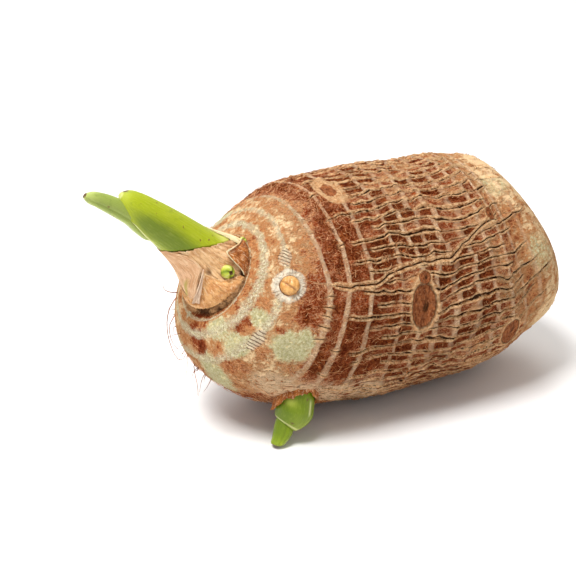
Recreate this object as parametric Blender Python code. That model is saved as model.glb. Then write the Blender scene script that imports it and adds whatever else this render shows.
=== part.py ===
"""A taro corm lying on its side, with its crown shoot, a side shoot and a dormant side bud.

+X runs from the crown end to the tail, +Z is up, and the origin lies on the table under
the middle of the corm, inside the flat spot that the corm rests on.  Sizes are in
millimetres and angles in degrees until finish() scales a piece to metres.

A place on the corm is given by how far it lies along from the crown end, and by its angle
around: 0 is the side toward -Y, 90 is the top and -90 the underside.
"""
import math

import bmesh
import bpy
from mathutils import Vector, noise
from mathutils.bvhtree import BVHTree

MM = 0.001
GAP = 0.32
UP = Vector((0.0, 0.0, 1.0))

# The corm's spine and girth, at shares of its length
CORM_LENGTH = 170.0
SPINE_AT = (0.0, 0.15, 0.35, 0.6, 0.8, 1.0)
SPINE_HEIGHT = (72.0, 58.5, 54.2, 53.4, 56.3, 68.7)
SPINE_SIDE = (0.0, 0.6, 2.3, -1.5, -3.0, -9.0)
CROWN_PITCH = 37.8
TAIL_PITCH = 29.8
GIRTH_AT = (0.0, 0.04, 0.1, 0.2, 0.32, 0.45, 0.6, 0.75, 0.88, 1.0)
GIRTH = (22.1, 35.3, 43.5, 49.6, 52.0, 53.6, 52.7, 54.0, 55.6, 73.8)
TAIL_CLOSING = 8.5
SINK = 0.9

# Leaf scar rings, by their distance along, and the furrows in the bark between them
RINGS = (2.2, 6.3, 19.0, 32.3, 47.4, 65.9, 78.3, 87.3, 96.3, 106.0, 116.0, 126.5, 138.0, 150.0)
RING_HEIGHT = 1.1
RING_HALF_WIDTH = 1.9
RING_WANDER = 1.6
COLUMNS = 96
FURROW_DEPTH = 1.7
FURROW_STARTS = (28.0, 52.0)
FURROW_ENDS = (132.0, 156.0)
FURROW_WANDER = 2.5
LUMP_HEIGHT = 1.1
LUMP_SIZE = 26.0
TAIL_ROWS = (158.0, 162.0, 165.5, 168.0, 169.3, 169.95)

# Scars of lost side shoots: distance along, angle, half length, half width around, depth
SCARS = (
    (80.5, 9.0, 6.3, 11.0, 1.3),
    (125.5, -19.5, 5.5, 8.5, 1.0),
    (51.1, 81.5, 5.5, 7.5, 0.9),
    (128.2, 44.0, 4.5, 4.5, 0.8),
)
SCAR_RIM = 1.0

# The bark is worn smooth around the spot that the corm rests on
REST_HALF_LENGTH = 16.0
REST_HALF_WIDTH = 9.0

# The crown: a shallow seat in the crown end, and the husk of dried leaf bases in it
SEAT_RADIUS = 17.1
SEAT_RISE = 3.0
SEAT_DEPTH = 1.2
SHOOT_AT = (-1.0, 0.0, 6.0, 12.0, 21.0, 33.0, 45.0, 56.0, 61.0, 64.0)
SHOOT_RISE = (3.0, 3.0, 3.1, 3.9, 6.2, 7.9, 8.2, 9.3, 9.9, 10.2)
SHOOT_HALF_HEIGHT = (16.6, 16.6, 15.4, 13.4, 10.9, 9.0, 8.1, 5.9, 3.9, 1.2)
SHOOT_HALF_WIDTH = (16.6, 16.6, 15.0, 12.6, 9.9, 8.0, 7.2, 5.2, 3.4, 1.0)
HUSK_SHORT_SIDE = 3.0
HUSK_LONG_SIDE = 33.0
HUSK_LIP = 1.0
HUSK_POCKET = 1.8
HUSK_FOLD_DEPTH = 0.5
HUSK_FOLDS = 15
SPEAR_AT = (38.0, 42.0, 48.0, 56.0, 64.0, 71.0, 76.0, 78.0)
SPEAR_RISE = (3.4, 2.6, 3.5, 5.1, 5.0, 4.3, 3.3, 2.9)
SPEAR_HALF_HEIGHT = (2.4, 3.1, 3.6, 4.0, 3.9, 3.3, 2.4, 1.3)
SPEAR_HALF_WIDTH = (2.0, 2.8, 3.2, 3.4, 3.3, 2.8, 2.0, 1.2)

# The side shoot under the crown end
SIDE_ROOT = Vector((-63.5, -28.4, 20.6))
SIDE_TIP = Vector((-71.6, -32.2, 0.5))
SIDE_ACROSS = Vector((0.78, -0.593, -0.202))
SIDE_LEAN_AT = (-6.0, 0.0, 3.0, 6.5, 10.0, 12.3, 13.8)
SIDE_LEAN = (1.2, 1.9, 2.2, 2.4, 1.85, 0.95, 0.2)
SIDE_COLLAR_RADIUS = 9.7
SIDE_COLLAR_RISE = 2.4
SIDE_COLLAR_FLOOR = -9.0
SIDE_BULB_AT = (-7.6, -5.0, 0.0, 3.0, 6.5, 10.0, 12.3, 13.8, 14.4)
SIDE_BULB_RADIUS = (5.5, 7.4, 8.2, 8.4, 8.6, 7.85, 6.7, 5.5, 4.4)
SIDE_MOUTH_SLANT = 2.15
SIDE_SPEAR_AT = (5.5, 10.0, 13.5, 17.4, 20.0, 22.2, 23.0)
SIDE_SPEAR_RADIUS = (3.0, 4.1, 4.4, 4.15, 3.5, 2.7, 1.7)
SIDE_SPEAR_LEAN = (0.6, -0.2, -0.4, -0.55, -1.15, -1.9, -2.2)
SIDE_SPEAR_BOW = (0.0, 0.0, 0.4, 1.3, 2.1, 2.8, 3.0)

# Small buds: distance along, angle, radius and height of the dome
SIDE_BUD = (8.3, 20.5, 4.2, 2.6)
SIDE_BUD_HALO = 7.4
CROWN_BUD = (8.0, 6.5, 1.7, 1.5)


def smooth(stations, values, at, first_slope=None, last_slope=None):
    """The value at one place of a smooth curve through the stations."""
    steps = []
    for low, high, start, end in zip(stations, stations[1:], values, values[1:]):
        steps.append((end - start) / (high - low))
    slopes = [steps[0] if first_slope is None else first_slope]
    for before, after in zip(steps, steps[1:]):
        slopes.append((before + after) / 2.0 if before * after > 0.0 else 0.0)
    slopes.append(steps[-1] if last_slope is None else last_slope)
    at = min(max(at, stations[0]), stations[-1])
    span = 0
    while span < len(steps) - 1 and at > stations[span + 1]:
        span += 1
    width = stations[span + 1] - stations[span]
    part = (at - stations[span]) / width
    rest = 1.0 - part
    level = values[span] * rest * rest * (1.0 + 2.0 * part)
    level += values[span + 1] * part * part * (3.0 - 2.0 * part)
    return level + part * rest * width * (slopes[span] * rest - slopes[span + 1] * part)


def ramp(low, high, at):
    """0 below low, 1 above high, and an even S between them."""
    part = min(max((at - low) / (high - low), 0.0), 1.0)
    return part * part * (3.0 - 2.0 * part)


def spine_middle(share):
    """The middle of the corm's section at a share of its length."""
    crown_slope = -math.tan(math.radians(CROWN_PITCH)) * CORM_LENGTH
    tail_slope = math.tan(math.radians(TAIL_PITCH)) * CORM_LENGTH
    height = smooth(SPINE_AT, SPINE_HEIGHT, share, crown_slope, tail_slope)
    side = smooth(SPINE_AT, SPINE_SIDE, share, 0.0)
    return Vector(((share - 0.5) * CORM_LENGTH, side, height - SINK))


def section(share):
    """The middle of a section, its two directions, and the way along to the tail."""
    step = 0.002
    low = max(share - step, 0.0)
    high = min(share + step, 1.0)
    ahead = (spine_middle(high) - spine_middle(low)).normalized()
    toward = ahead.cross(UP).normalized()
    above = toward.cross(ahead).normalized()
    return spine_middle(share), toward, above, ahead


def corm_point(along, angle, rise=0.0):
    """A point on the corm's skin, raised by rise, with the angle in radians."""
    share = min(along / CORM_LENGTH, 1.0)
    middle, toward, above, _ = section(share)
    girth = smooth(GIRTH_AT, GIRTH, share) * math.sqrt(max(0.0, 1.0 - share ** TAIL_CLOSING))
    spoke = toward * math.cos(angle) + above * math.sin(angle)
    return middle + spoke * (girth + rise)


def corm_normal(along, angle):
    """The way out of the skin at a place on the corm."""
    step = 0.5
    by_length = corm_point(along + step, angle) - corm_point(along - step, angle)
    by_angle = corm_point(along, angle + 0.01) - corm_point(along, angle - 0.01)
    out = by_angle.cross(by_length).normalized()
    middle = section(along / CORM_LENGTH)[0]
    return out if out.dot(corm_point(along, angle) - middle) > 0.0 else -out


def around_distance(along, angle, centre):
    """Millimetres around the skin from an angle in degrees."""
    turn = (math.degrees(angle) - centre + 180.0) % 360.0 - 180.0
    girth = smooth(GIRTH_AT, GIRTH, along / CORM_LENGTH)
    return math.radians(turn) * girth


def ring_relief(along, angle):
    """The raised leaf scar rings, each a little uneven around."""
    rise = 0.0
    for number, ring in enumerate(RINGS):
        offset = (along - ring) / RING_HALF_WIDTH
        uneven = 0.8 + 0.4 * noise.noise(Vector((number * 7.3, 2.0 * math.cos(angle), 2.0 * math.sin(angle))))
        rise += RING_HEIGHT * uneven * math.exp(-offset * offset * 1.6)
    return rise


def furrow_relief(along, angle):
    """Furrows that run lengthwise in the bark, one valley to every second column of points."""
    column = round(angle / math.tau * COLUMNS)
    if column % 2 == 0:
        return 0.0
    strength = ramp(*FURROW_STARTS, along) * (1.0 - ramp(*FURROW_ENDS, along))
    depth = 0.62 + 0.9 * noise.noise(Vector((column * 3.7, along / 17.0, 4.1)))
    return -FURROW_DEPTH * strength * max(depth, 0.1)


def scar_relief(along, angle):
    """Oval scars with a raised rim and a dished middle."""
    rise = 0.0
    for scar_along, scar_angle, half_length, half_width, depth in SCARS:
        lengthwise = (along - scar_along) / half_length
        crosswise = around_distance(along, angle, scar_angle) / half_width
        reach = math.hypot(lengthwise, crosswise)
        rise += SCAR_RIM * math.exp(-((reach - 1.0) / 0.3) ** 2) - depth * (1.0 - ramp(0.4, 1.0, reach))
    return rise


def halo_relief(along, angle):
    """The smooth swelling around the dormant side bud."""
    bud_along, bud_angle, _, _ = SIDE_BUD
    reach = math.hypot(along - bud_along, around_distance(along, angle, bud_angle)) / SIDE_BUD_HALO
    return 0.9 * (1.0 - ramp(0.5, 1.4, reach))


def rest_wear(plain):
    """0 around the spot that the corm rests on, 1 away from it."""
    if plain.z > 15.0:
        return 1.0
    return ramp(1.0, 2.0, math.hypot(plain.x / REST_HALF_LENGTH, plain.y / REST_HALF_WIDTH))


def corm_rows():
    """Distances along for the corm's rows of points: each ring's crest and both its feet."""
    rows = [0.0]
    for ring, following in zip(RINGS, RINGS[1:] + (TAIL_ROWS[0],)):
        rows.append(ring)
        room = following - ring
        if room > 7.0:
            rows.extend((ring + RING_HALF_WIDTH, following - RING_HALF_WIDTH))
        else:
            rows.append(ring + room / 2.0)
        if room > 11.0:
            rows.append(ring + room / 2.0)
    return sorted(rows) + list(TAIL_ROWS)


def skin_point(row_along, angle):
    """A point on the barked skin: the rows wander with the rings, the columns with the furrows."""
    ease = ramp(0.0, 14.0, row_along) * (1.0 - ramp(150.0, 168.0, row_along))
    spot = Vector((row_along / 40.0, 1.4 * math.cos(angle), 1.4 * math.sin(angle)))
    along = row_along + ease * RING_WANDER * 2.0 * noise.noise(spot)
    turn = angle + math.radians(FURROW_WANDER) * ease * 2.0 * noise.noise(spot * 1.7 + UP * 9.0)
    relief = ring_relief(row_along, angle) + furrow_relief(row_along, angle)
    relief += scar_relief(along, turn) + halo_relief(along, turn)
    plain = corm_point(along, turn)
    relief += LUMP_HEIGHT * ease * noise.noise(plain / LUMP_SIZE)
    relief *= rest_wear(plain) * (1.0 - ramp(166.0, 169.9, row_along))
    point = corm_point(along, turn, relief)
    point.z = max(point.z, 0.0)
    return point


def tube(rows, columns):
    """An open tube of points that the caller then places, row by row."""
    bm = bmesh.new()
    side = [bm.verts.new((row, 1.0, 0.0)) for row in range(rows)]
    edges = [bm.edges.new(pair) for pair in zip(side, side[1:])]
    bmesh.ops.spin(
        bm, geom=side + edges, cent=(0, 0, 0), axis=(1, 0, 0),
        angle=math.tau, steps=columns, use_merge=True,
    )
    return bm


def closed_body(rows, columns, place):
    """A closed body of rows around an axis: place(row, angle) gives each point."""
    bm = tube(rows, columns)
    for vert in bm.verts:
        vert.co = place(round(vert.co.x), math.atan2(vert.co.z, vert.co.y))
    rims = [edge for edge in bm.edges if edge.is_boundary]
    caps = bmesh.ops.holes_fill(bm, edges=rims, sides=0)["faces"]
    bmesh.ops.poke(bm, faces=caps)
    bmesh.ops.recalc_face_normals(bm, faces=bm.faces)
    return bm


def paint(name, colour, roughness):
    """A plain Principled material."""
    material = bpy.data.materials.new(name)
    material.use_nodes = True
    shader = material.node_tree.nodes["Principled BSDF"]
    shader.inputs["Base Color"].default_value = (*colour, 1.0)
    shader.inputs["Roughness"].default_value = roughness
    shader.inputs["Metallic"].default_value = 0.0
    material.diffuse_color = (*colour, 1.0)
    return material


def finish(bm, name, material):
    """Scale a body to metres and make it an object of that name."""
    bmesh.ops.scale(bm, vec=(MM, MM, MM), verts=bm.verts)
    mesh = bpy.data.meshes.new(name)
    bm.to_mesh(mesh)
    bm.free()
    mesh.materials.append(material)
    mesh.shade_smooth()
    mesh.set_sharp_from_angle(angle=math.radians(50.0))
    piece = bpy.data.objects.new(name, mesh)
    bpy.context.collection.objects.link(piece)
    return piece


def cut_from(piece, cutter):
    """Cut the cutter's shape out of a piece."""
    cutter.hide_render = True
    cutter.display_type = "WIRE"
    cut = piece.modifiers.new(cutter.name, "BOOLEAN")
    cut.operation = "DIFFERENCE"
    cut.solver = "EXACT"
    cut.object = cutter


def make_corm(material):
    """The corm's skin, closed at the crown end by the seat of the husk."""
    rows = corm_rows()
    seat_rows = 2
    middle, toward, above, ahead = section(0.0)

    def place(row, angle):
        if row >= seat_rows:
            return skin_point(rows[row - seat_rows], angle)
        spoke = toward * math.cos(angle) + above * math.sin(angle)
        floor = middle + above * SEAT_RISE + spoke * (SEAT_RADIUS + GAP * row)
        return floor + ahead * (SEAT_DEPTH * (1 - row))

    bm = closed_body(len(rows) + seat_rows, COLUMNS, place)
    return finish(bm, "corm", material)


def shoot_point(out, angle, inset=0.0):
    """A point on the crown shoot's outer form, out from the crown end by so much."""
    middle, toward, above, ahead = section(0.0)
    half_height = max(smooth(SHOOT_AT, SHOOT_HALF_HEIGHT, out) - inset, 0.4)
    half_width = max(smooth(SHOOT_AT, SHOOT_HALF_WIDTH, out) - inset, 0.4)
    rise = smooth(SHOOT_AT, SHOOT_RISE, out) + half_height * math.sin(angle)
    return middle - ahead * out + above * rise + toward * (half_width * math.cos(angle))


def husk_edge(angle):
    """How far out the husk reaches: short on top, where the shoot has broken out, long below."""
    lower = math.sqrt((1.0 - math.sin(angle)) / 2.0)
    return HUSK_SHORT_SIDE + (HUSK_LONG_SIDE - HUSK_SHORT_SIDE) * lower


def make_crown_husk(material):
    """Dried leaf bases: a folded stump that reaches far out below and hardly at all on top."""
    wall_rows = 9
    base = -(SEAT_DEPTH - GAP)

    def place(row, angle):
        edge = husk_edge(angle)
        if row == wall_rows:
            return shoot_point(edge, angle, HUSK_LIP)
        share = row / (wall_rows - 1)
        fold = HUSK_FOLD_DEPTH * math.sin(HUSK_FOLDS * angle + 2.0 * share)
        fold *= ramp(0.0, 0.25, share) * (1.0 - ramp(0.8, 1.0, share))
        return shoot_point(base + (edge - base) * share, angle, fold)

    return finish(closed_body(wall_rows + 1, 40, place), "crown_husk", material)


def crown_sheath_body(grow):
    """The green leaf sheath, its foot sunk in the husk, made larger by grow."""
    foot = HUSK_LIP + GAP + 0.1 - grow
    stages = 13
    last = SHOOT_AT[-1]

    def place(row, angle):
        edge = husk_edge(angle)
        if row == 0:
            return shoot_point(edge - HUSK_POCKET - 2.5 * grow, angle, foot)
        if row == 1:
            return shoot_point(edge + 0.2, angle, foot)
        share = (row - 2) / (stages - 1)
        start = edge + 1.6
        out = start + (last - start) * (1.0 - (1.0 - share) ** 1.3)
        return shoot_point(out, angle, 0.5 * (1.0 - ramp(0.0, 0.3, share)) - grow)

    return closed_body(stages + 2, 40, place)


def crown_spear_body(grow):
    """The young leaf inside the sheath, rolled to a spear, and made larger by grow."""
    middle, toward, above, ahead = section(0.0)

    def place(row, angle):
        out = SPEAR_AT[row]
        out += grow * ((row == len(SPEAR_AT) - 1) - (row == 0))
        rise = SPEAR_RISE[row] + (SPEAR_HALF_HEIGHT[row] + grow) * math.sin(angle)
        side = (SPEAR_HALF_WIDTH[row] + grow) * math.cos(angle)
        return middle - ahead * out + above * rise + toward * side

    return closed_body(len(SPEAR_AT), 20, place)


def side_axes():
    """The side shoot's way out, and its two directions across."""
    out = (SIDE_TIP - SIDE_ROOT).normalized()
    across = (SIDE_ACROSS - out * SIDE_ACROSS.dot(out)).normalized()
    return out, across, out.cross(across)


def side_point(out_by, angle, radius):
    """A point around the side shoot's bent middle line."""
    out, across, front = side_axes()
    lean = smooth(SIDE_LEAN_AT, SIDE_LEAN, out_by) + radius * math.cos(angle)
    return SIDE_ROOT + out * out_by + across * lean + front * (radius * math.sin(angle))


def make_side_collar(corm, material):
    """The torn brown husk around the side shoot's foot, a cup whose lip follows the corm's skin."""
    skin = BVHTree.FromObject(corm, bpy.context.evaluated_depsgraph_get())
    out = side_axes()[0]
    outside = SIDE_COLLAR_RADIUS
    bore = outside - 0.75
    floor = SIDE_COLLAR_FLOOR

    def lip(angle):
        start = side_point(12.0, angle, outside + GAP)
        hit = skin.ray_cast(start * MM, -out)[0]
        reach = (hit / MM - SIDE_ROOT).dot(out) if hit else 0.0
        ragged = 0.8 * math.sin(5.0 * angle) + 0.5 * math.sin(11.0 * angle + 1.0)
        return reach + SIDE_COLLAR_RISE + ragged

    def place(row, angle):
        heights = (floor, floor + 4.0, lip(angle), lip(angle), floor + 4.0, floor + 1.0)
        radii = (outside - 1.5, outside - 0.4, outside, bore, bore - 0.2, bore - 1.6)
        return side_point(heights[row], angle, radii[row])

    bm = closed_body(6, 32, place)
    return finish(bm, "side_collar", material)


def make_side_socket(material):
    """The cutter for the hollow in the corm that the side shoot's collar stands in."""
    heights = (SIDE_COLLAR_FLOOR - GAP, SIDE_COLLAR_FLOOR + 4.0, 0.0, 4.0, 8.0, 14.0)

    def place(row, angle):
        return side_point(heights[row], angle, SIDE_COLLAR_RADIUS + GAP + 0.1)

    return finish(closed_body(len(heights), 40, place), "side_socket_cutter", material)


def make_side_bulb(material):
    """The side shoot's green sheath, swollen at the foot, with a slanted mouth."""
    out = side_axes()[0]

    def place(row, angle):
        out_by = SIDE_BULB_AT[row]
        slant = SIDE_MOUTH_SLANT * ramp(3.0, 13.0, out_by) * (math.cos(angle) - 0.63)
        return side_point(out_by, angle, SIDE_BULB_RADIUS[row]) + out * slant

    return finish(closed_body(len(SIDE_BULB_AT), 28, place), "side_sheath", material)


def side_spear_body(grow):
    """The side shoot's blunt inner leaf, made larger by grow."""
    out, across, front = side_axes()

    def place(row, angle):
        out_by = SIDE_SPEAR_AT[row]
        out_by += grow * ((row == len(SIDE_SPEAR_AT) - 1) - (row == 0))
        radius = SIDE_SPEAR_RADIUS[row] + grow
        lean = SIDE_SPEAR_LEAN[row] + radius * math.cos(angle)
        bow = SIDE_SPEAR_BOW[row] + radius * math.sin(angle)
        return SIDE_ROOT + out * out_by + across * lean + front * bow

    return closed_body(len(SIDE_SPEAR_AT), 20, place)


def dome_body(foot, out, radius, height, grow):
    """A low dome with a short round stalk under it, for a bud set in a hole."""
    across = out.orthogonal().normalized()
    front = out.cross(across)
    profile = [(-1.6 - grow, radius * 0.9), (0.0, radius)]
    for step in range(1, 5):
        lift = math.radians(19.0 * step)
        profile.append((height * math.sin(lift), radius * math.cos(lift)))

    def place(row, angle):
        level, reach = profile[row]
        spoke = across * math.cos(angle) + front * math.sin(angle)
        return foot + out * level + spoke * (reach + grow)

    return closed_body(len(profile), 20, place)


def set_bud(carrier, name, foot, out, radius, height, material):
    """A bud as its own piece, in a hole cut in what carries it."""
    bud = finish(dome_body(foot, out, radius, height, 0.0), name, material)
    cutter = finish(dome_body(foot, out, radius, height, GAP), name + "_cutter", material)
    cut_from(carrier, cutter)
    return bud


def husk_strip(name, path, half_widths, stand_off, material):
    """A thin dry strip that lies along the husk, by stations of reach out and angle."""
    thickness = 0.42

    def centre(row):
        out_by, angle = path[row]
        return shoot_point(out_by, math.radians(angle), -stand_off[row])

    def place(row, angle):
        here = centre(row)
        along = (centre(min(row + 1, len(path) - 1)) - centre(max(row - 1, 0))).normalized()
        out_by, around = path[row]
        core = shoot_point(out_by, math.radians(around), 6.0)
        away = (here - core).normalized()
        across = along.cross(away).normalized()
        away = across.cross(along).normalized()
        return here + across * (half_widths[row] * math.cos(angle)) + away * (thickness * math.sin(angle))

    return finish(closed_body(len(path), 10, place), name, material)


def main():
    for piece in list(bpy.data.objects):
        bpy.data.objects.remove(piece, do_unlink=True)

    bark = paint("bark", (0.42, 0.24, 0.14), 0.85)
    husk = paint("dry_husk", (0.55, 0.34, 0.19), 0.75)
    green = paint("green_sheath", (0.33, 0.50, 0.06), 0.38)
    pale_green = paint("young_leaf", (0.42, 0.55, 0.20), 0.42)
    amber = paint("dormant_bud", (0.62, 0.34, 0.10), 0.5)

    corm = make_corm(bark)
    make_side_collar(corm, husk)
    cut_from(corm, make_side_socket(bark))

    crown_husk = make_crown_husk(husk)
    sheath = finish(crown_sheath_body(0.0), "crown_sheath", green)
    cut_from(crown_husk, finish(crown_sheath_body(GAP), "crown_sheath_cutter", green))
    finish(crown_spear_body(0.0), "crown_spear", pale_green)
    cut_from(sheath, finish(crown_spear_body(GAP), "crown_spear_cutter", pale_green))

    side_sheath = make_side_bulb(green)
    finish(side_spear_body(0.0), "side_spear", pale_green)
    cut_from(side_sheath, finish(side_spear_body(GAP), "side_spear_cutter", pale_green))

    along, angle, radius, height = SIDE_BUD
    foot = corm_point(along, math.radians(angle), 0.9)
    set_bud(corm, "side_bud", foot, corm_normal(along, math.radians(angle)), radius, height, amber)

    out_by, angle, radius, height = CROWN_BUD
    turn = math.radians(angle)
    foot = shoot_point(out_by, turn)
    away = (foot - shoot_point(out_by, turn, 6.0)).normalized()
    set_bud(crown_husk, "crown_bud", foot, away, radius, height, green)

    husk_strip("husk_flap", ((5.5, -66.0), (9.0, -58.0), (13.0, -44.0), (17.0, -22.0)),
               (1.9, 1.8, 1.3, 0.5), (1.3, 1.4, 1.7, 2.2), husk)
    husk_strip("husk_scale", ((3.2, 76.0), (5.0, 62.0), (6.4, 48.0), (6.6, 34.0)),
               (1.2, 2.6, 3.0, 1.6), (1.3, 1.4, 1.6, 1.5), husk)


main()
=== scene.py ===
"""A taro corm on a white table, with its crown shoot, side shoot and dormant side bud.

Forms are worked out in millimetres in the part's own frame, +X from the crown end to the
tail and +Z up, and each finished mesh is scaled to metres.  A place on the corm is given
by its distance along from the crown end and its angle around: 0 toward -Y, 90 on top.
"""
import math

import bmesh
import bpy
import numpy as np
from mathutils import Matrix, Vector, noise


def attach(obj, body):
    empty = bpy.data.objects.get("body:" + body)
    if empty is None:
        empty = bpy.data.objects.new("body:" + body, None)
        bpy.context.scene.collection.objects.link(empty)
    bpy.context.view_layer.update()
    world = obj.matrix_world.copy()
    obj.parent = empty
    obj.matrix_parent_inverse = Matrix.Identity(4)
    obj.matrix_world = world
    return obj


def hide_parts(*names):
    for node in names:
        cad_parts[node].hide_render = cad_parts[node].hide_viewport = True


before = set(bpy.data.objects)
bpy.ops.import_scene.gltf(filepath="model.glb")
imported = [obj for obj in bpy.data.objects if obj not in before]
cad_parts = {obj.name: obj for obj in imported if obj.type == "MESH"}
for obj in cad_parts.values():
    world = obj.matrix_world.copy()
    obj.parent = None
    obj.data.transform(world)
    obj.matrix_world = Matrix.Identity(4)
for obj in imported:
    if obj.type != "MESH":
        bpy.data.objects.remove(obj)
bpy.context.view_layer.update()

MM = 0.001
UP = np.array((0.0, 0.0, 1.0))
CHANCE = np.random.default_rng(41)
DICE = CHANCE.uniform(-1.0, 1.0, (48, 48, 48))

# The corm's spine and girth, as in the part
CORM_LENGTH = 170.0
SPINE_AT = (0.0, 0.15, 0.35, 0.6, 0.8, 1.0)
SPINE_HEIGHT = (72.0, 58.5, 54.2, 53.4, 56.3, 68.7)
SPINE_SIDE = (0.0, 0.6, 2.3, -1.5, -3.0, -9.0)
CROWN_PITCH = 37.8
TAIL_PITCH = 29.8
GIRTH_AT = (0.0, 0.04, 0.1, 0.2, 0.32, 0.45, 0.6, 0.75, 0.88, 1.0)
GIRTH = (22.1, 35.3, 43.5, 49.6, 52.0, 53.6, 52.7, 54.0, 55.6, 73.8)
TAIL_CLOSING = 8.5
SINK = 0.9

# The skin's mesh, and how near it comes to the table
CORM_ROWS = 172
CORM_COLUMNS = 576
FLOOR_GAP = 0.05

# Rings, furrow lanes and lumps in the bark
RIM_RING = -1.3
RINGS = (1.8, 6.3, 19.5, 32.4, 46.6, 65.9, 78.3, 87.3, 96.3, 106.0, 116.0, 126.5, 138.0, 150.0)
ASKEW = {2: (2, 3.4, -40.0), 3: (1, 4.0, 20.0), 4: (1, 6.8, 27.0), 5: (1, 2.0, 20.0)}
RING_WANDER = 1.6
TURN_WANDER = 2.5
LUMP_HEIGHT = 1.1
LUMP_SIZE = 26.0
LANES = 66
CRACK_STARTS = (34.0, 60.0)
CRACK_ENDS = (124.0, 162.0)
CRACK_DEPTH = 0.85
LIP_HEIGHT = 0.8
RING_HEIGHT = 0.5

# A crack that runs nearly the whole length: distance along and angle
LONG_CRACK_AT = (20.0, 36.0, 48.6, 62.0, 76.8, 94.8, 104.0, 116.0, 130.0, 138.0)
LONG_CRACK_ANGLE = (24.5, 22.0, 21.5, 25.5, 27.5, 28.0, 32.5, 39.5, 40.5, 42.0)

# Scars of lost side shoots: distance along, angle, half length, half width around, depth
SCARS = (
    (80.8, 7.5, 6.9, 10.8, 1.0),
    (82.6, 21.0, 3.4, 3.0, 0.5),
    (127.0, -23.0, 5.6, 8.0, 0.8),
    (50.0, 78.5, 5.8, 9.2, 0.35),
    (126.5, 44.0, 3.6, 3.4, 0.6),
    (75.9, -28.0, 1.6, 1.8, 0.9),
    (70.0, 150.0, 5.5, 9.0, 0.9),
    (112.0, -125.0, 5.0, 8.0, 0.8),
    (40.0, -150.0, 4.5, 6.5, 0.7),
)

# A scar shallower than this is an eye with a pale ring; a reach this large is outside every scar
EYE_DEPTH = 0.4
FAR_OFF = 9.0

# How reddish brown the bark is, by distance along
RED_AT = (-6.0, -1.3, 2.2, 6.0, 12.0, 17.0, 25.0, 32.0, 47.0, 66.0, 96.0, 106.0, 125.0, 140.0, 155.0, 170.0)
RED = (0.6, 0.45, 0.4, 0.28, 0.27, 0.46, 0.84, 0.88, 0.94, 1.04, 1.0, 0.84, 0.64, 0.46, 0.3, 0.22)

# Places where it is redder: by how much, angle, half width, distance along, half length
RED_SPOTS = ((0.16, 48.0, 30.0, 12.0, 8.0), (0.35, 15.0, 22.0, 17.0, 7.0), (0.25, 30.0, 12.0, 103.0, 9.0))

# Smooth greenish patches at both ends and fuzzy brown ones near the crown: along, angle, half sizes
GREEN_PATCHES = (
    (14.8, -15.5, 5.5, 8.0), (19.0, -12.0, 4.0, 9.0), (5.1, -8.5, 2.5, 4.5), (5.3, -36.0, 3.0, 8.0),
    (1.0, -46.0, 2.2, 7.0), (9.5, -72.0, 6.0, 7.5), (14.8, -78.0, 5.0, 8.0), (12.0, -150.0, 7.0, 12.0),
    (9.0, 140.0, 4.0, 9.0), (148.0, 60.0, 13.0, 9.0), (156.0, 10.0, 9.0, 15.0), (146.0, -100.0, 12.0, 14.0),
    (150.0, 150.0, 10.0, 16.0),
)
BROWN_PATCHES = (
    (3.4, -77.0, 2.4, 6.5), (10.2, -50.0, 3.4, 7.5), (11.0, -27.0, 2.0, 4.0), (10.7, -8.5, 2.0, 1.8),
    (16.0, 5.5, 3.0, 4.5), (3.6, -22.0, 1.6, 5.0), (0.0, -75.0, 1.6, 8.0), (27.0, -20.0, 3.0, 6.0),
)

# The crown shoot, as in the part
SEAT_RADIUS = 17.1
SEAT_RISE = 3.0
SEAT_DEPTH = 1.2
SHOOT_AT = (-1.0, 0.0, 6.0, 12.0, 21.0, 33.0, 45.0, 56.0, 61.0, 64.0)
SHOOT_RISE = (3.0, 3.0, 3.1, 3.9, 6.2, 7.9, 8.2, 9.3, 9.9, 10.2)
SHOOT_HALF_HEIGHT = (16.6, 16.6, 15.4, 13.4, 10.9, 9.0, 8.1, 5.9, 3.9, 1.2)
SHOOT_HALF_WIDTH = (16.6, 16.6, 15.0, 12.6, 9.9, 8.0, 7.2, 5.2, 3.4, 1.0)
HUSK_BASE = -0.9
HUSK_SHORT_SIDE = 3.0
HUSK_LONG_SIDE = 33.0
SPEAR_AT = (38.0, 42.0, 48.0, 56.0, 64.0, 71.0, 76.0, 78.0)
SPEAR_RISE = (3.4, 2.6, 3.5, 5.1, 5.0, 4.3, 3.3, 2.9)
SPEAR_HALF_HEIGHT = (2.4, 3.1, 3.6, 4.0, 3.9, 3.3, 2.4, 1.1)
SPEAR_HALF_WIDTH = (2.0, 2.8, 3.2, 3.4, 3.3, 2.8, 2.0, 1.0)

# The side shoot, as in the part
SIDE_ROOT = np.array((-63.5, -28.4, 20.6))
SIDE_TIP = np.array((-71.6, -32.2, 0.5))
SIDE_ACROSS = np.array((0.78, -0.593, -0.202))
SIDE_LEAN_AT = (-6.0, 0.0, 3.0, 6.5, 10.0, 12.3, 13.8)
SIDE_LEAN = (1.2, 1.9, 2.2, 2.4, 1.85, 0.95, 0.2)
SIDE_COLLAR_RADIUS = 9.7
SIDE_BULB_AT = (-7.6, -5.0, 0.0, 3.0, 6.5, 10.0, 12.3, 13.8, 14.4)
SIDE_BULB_RADIUS = (5.5, 7.4, 8.2, 8.4, 8.6, 7.85, 6.7, 5.5, 4.4)
SIDE_MOUTH_SLANT = 2.15
SIDE_SPEAR_AT = (5.5, 10.0, 13.5, 17.4, 20.0, 22.2, 23.0)
SIDE_SPEAR_RADIUS = (3.0, 4.1, 4.4, 4.15, 3.5, 2.7, 1.5)
SIDE_SPEAR_LEAN = (0.6, -0.2, -0.4, -0.55, -1.15, -1.9, -2.2)
SIDE_SPEAR_BOW = (0.0, 0.0, 0.4, 1.3, 2.1, 2.8, 3.0)

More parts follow.
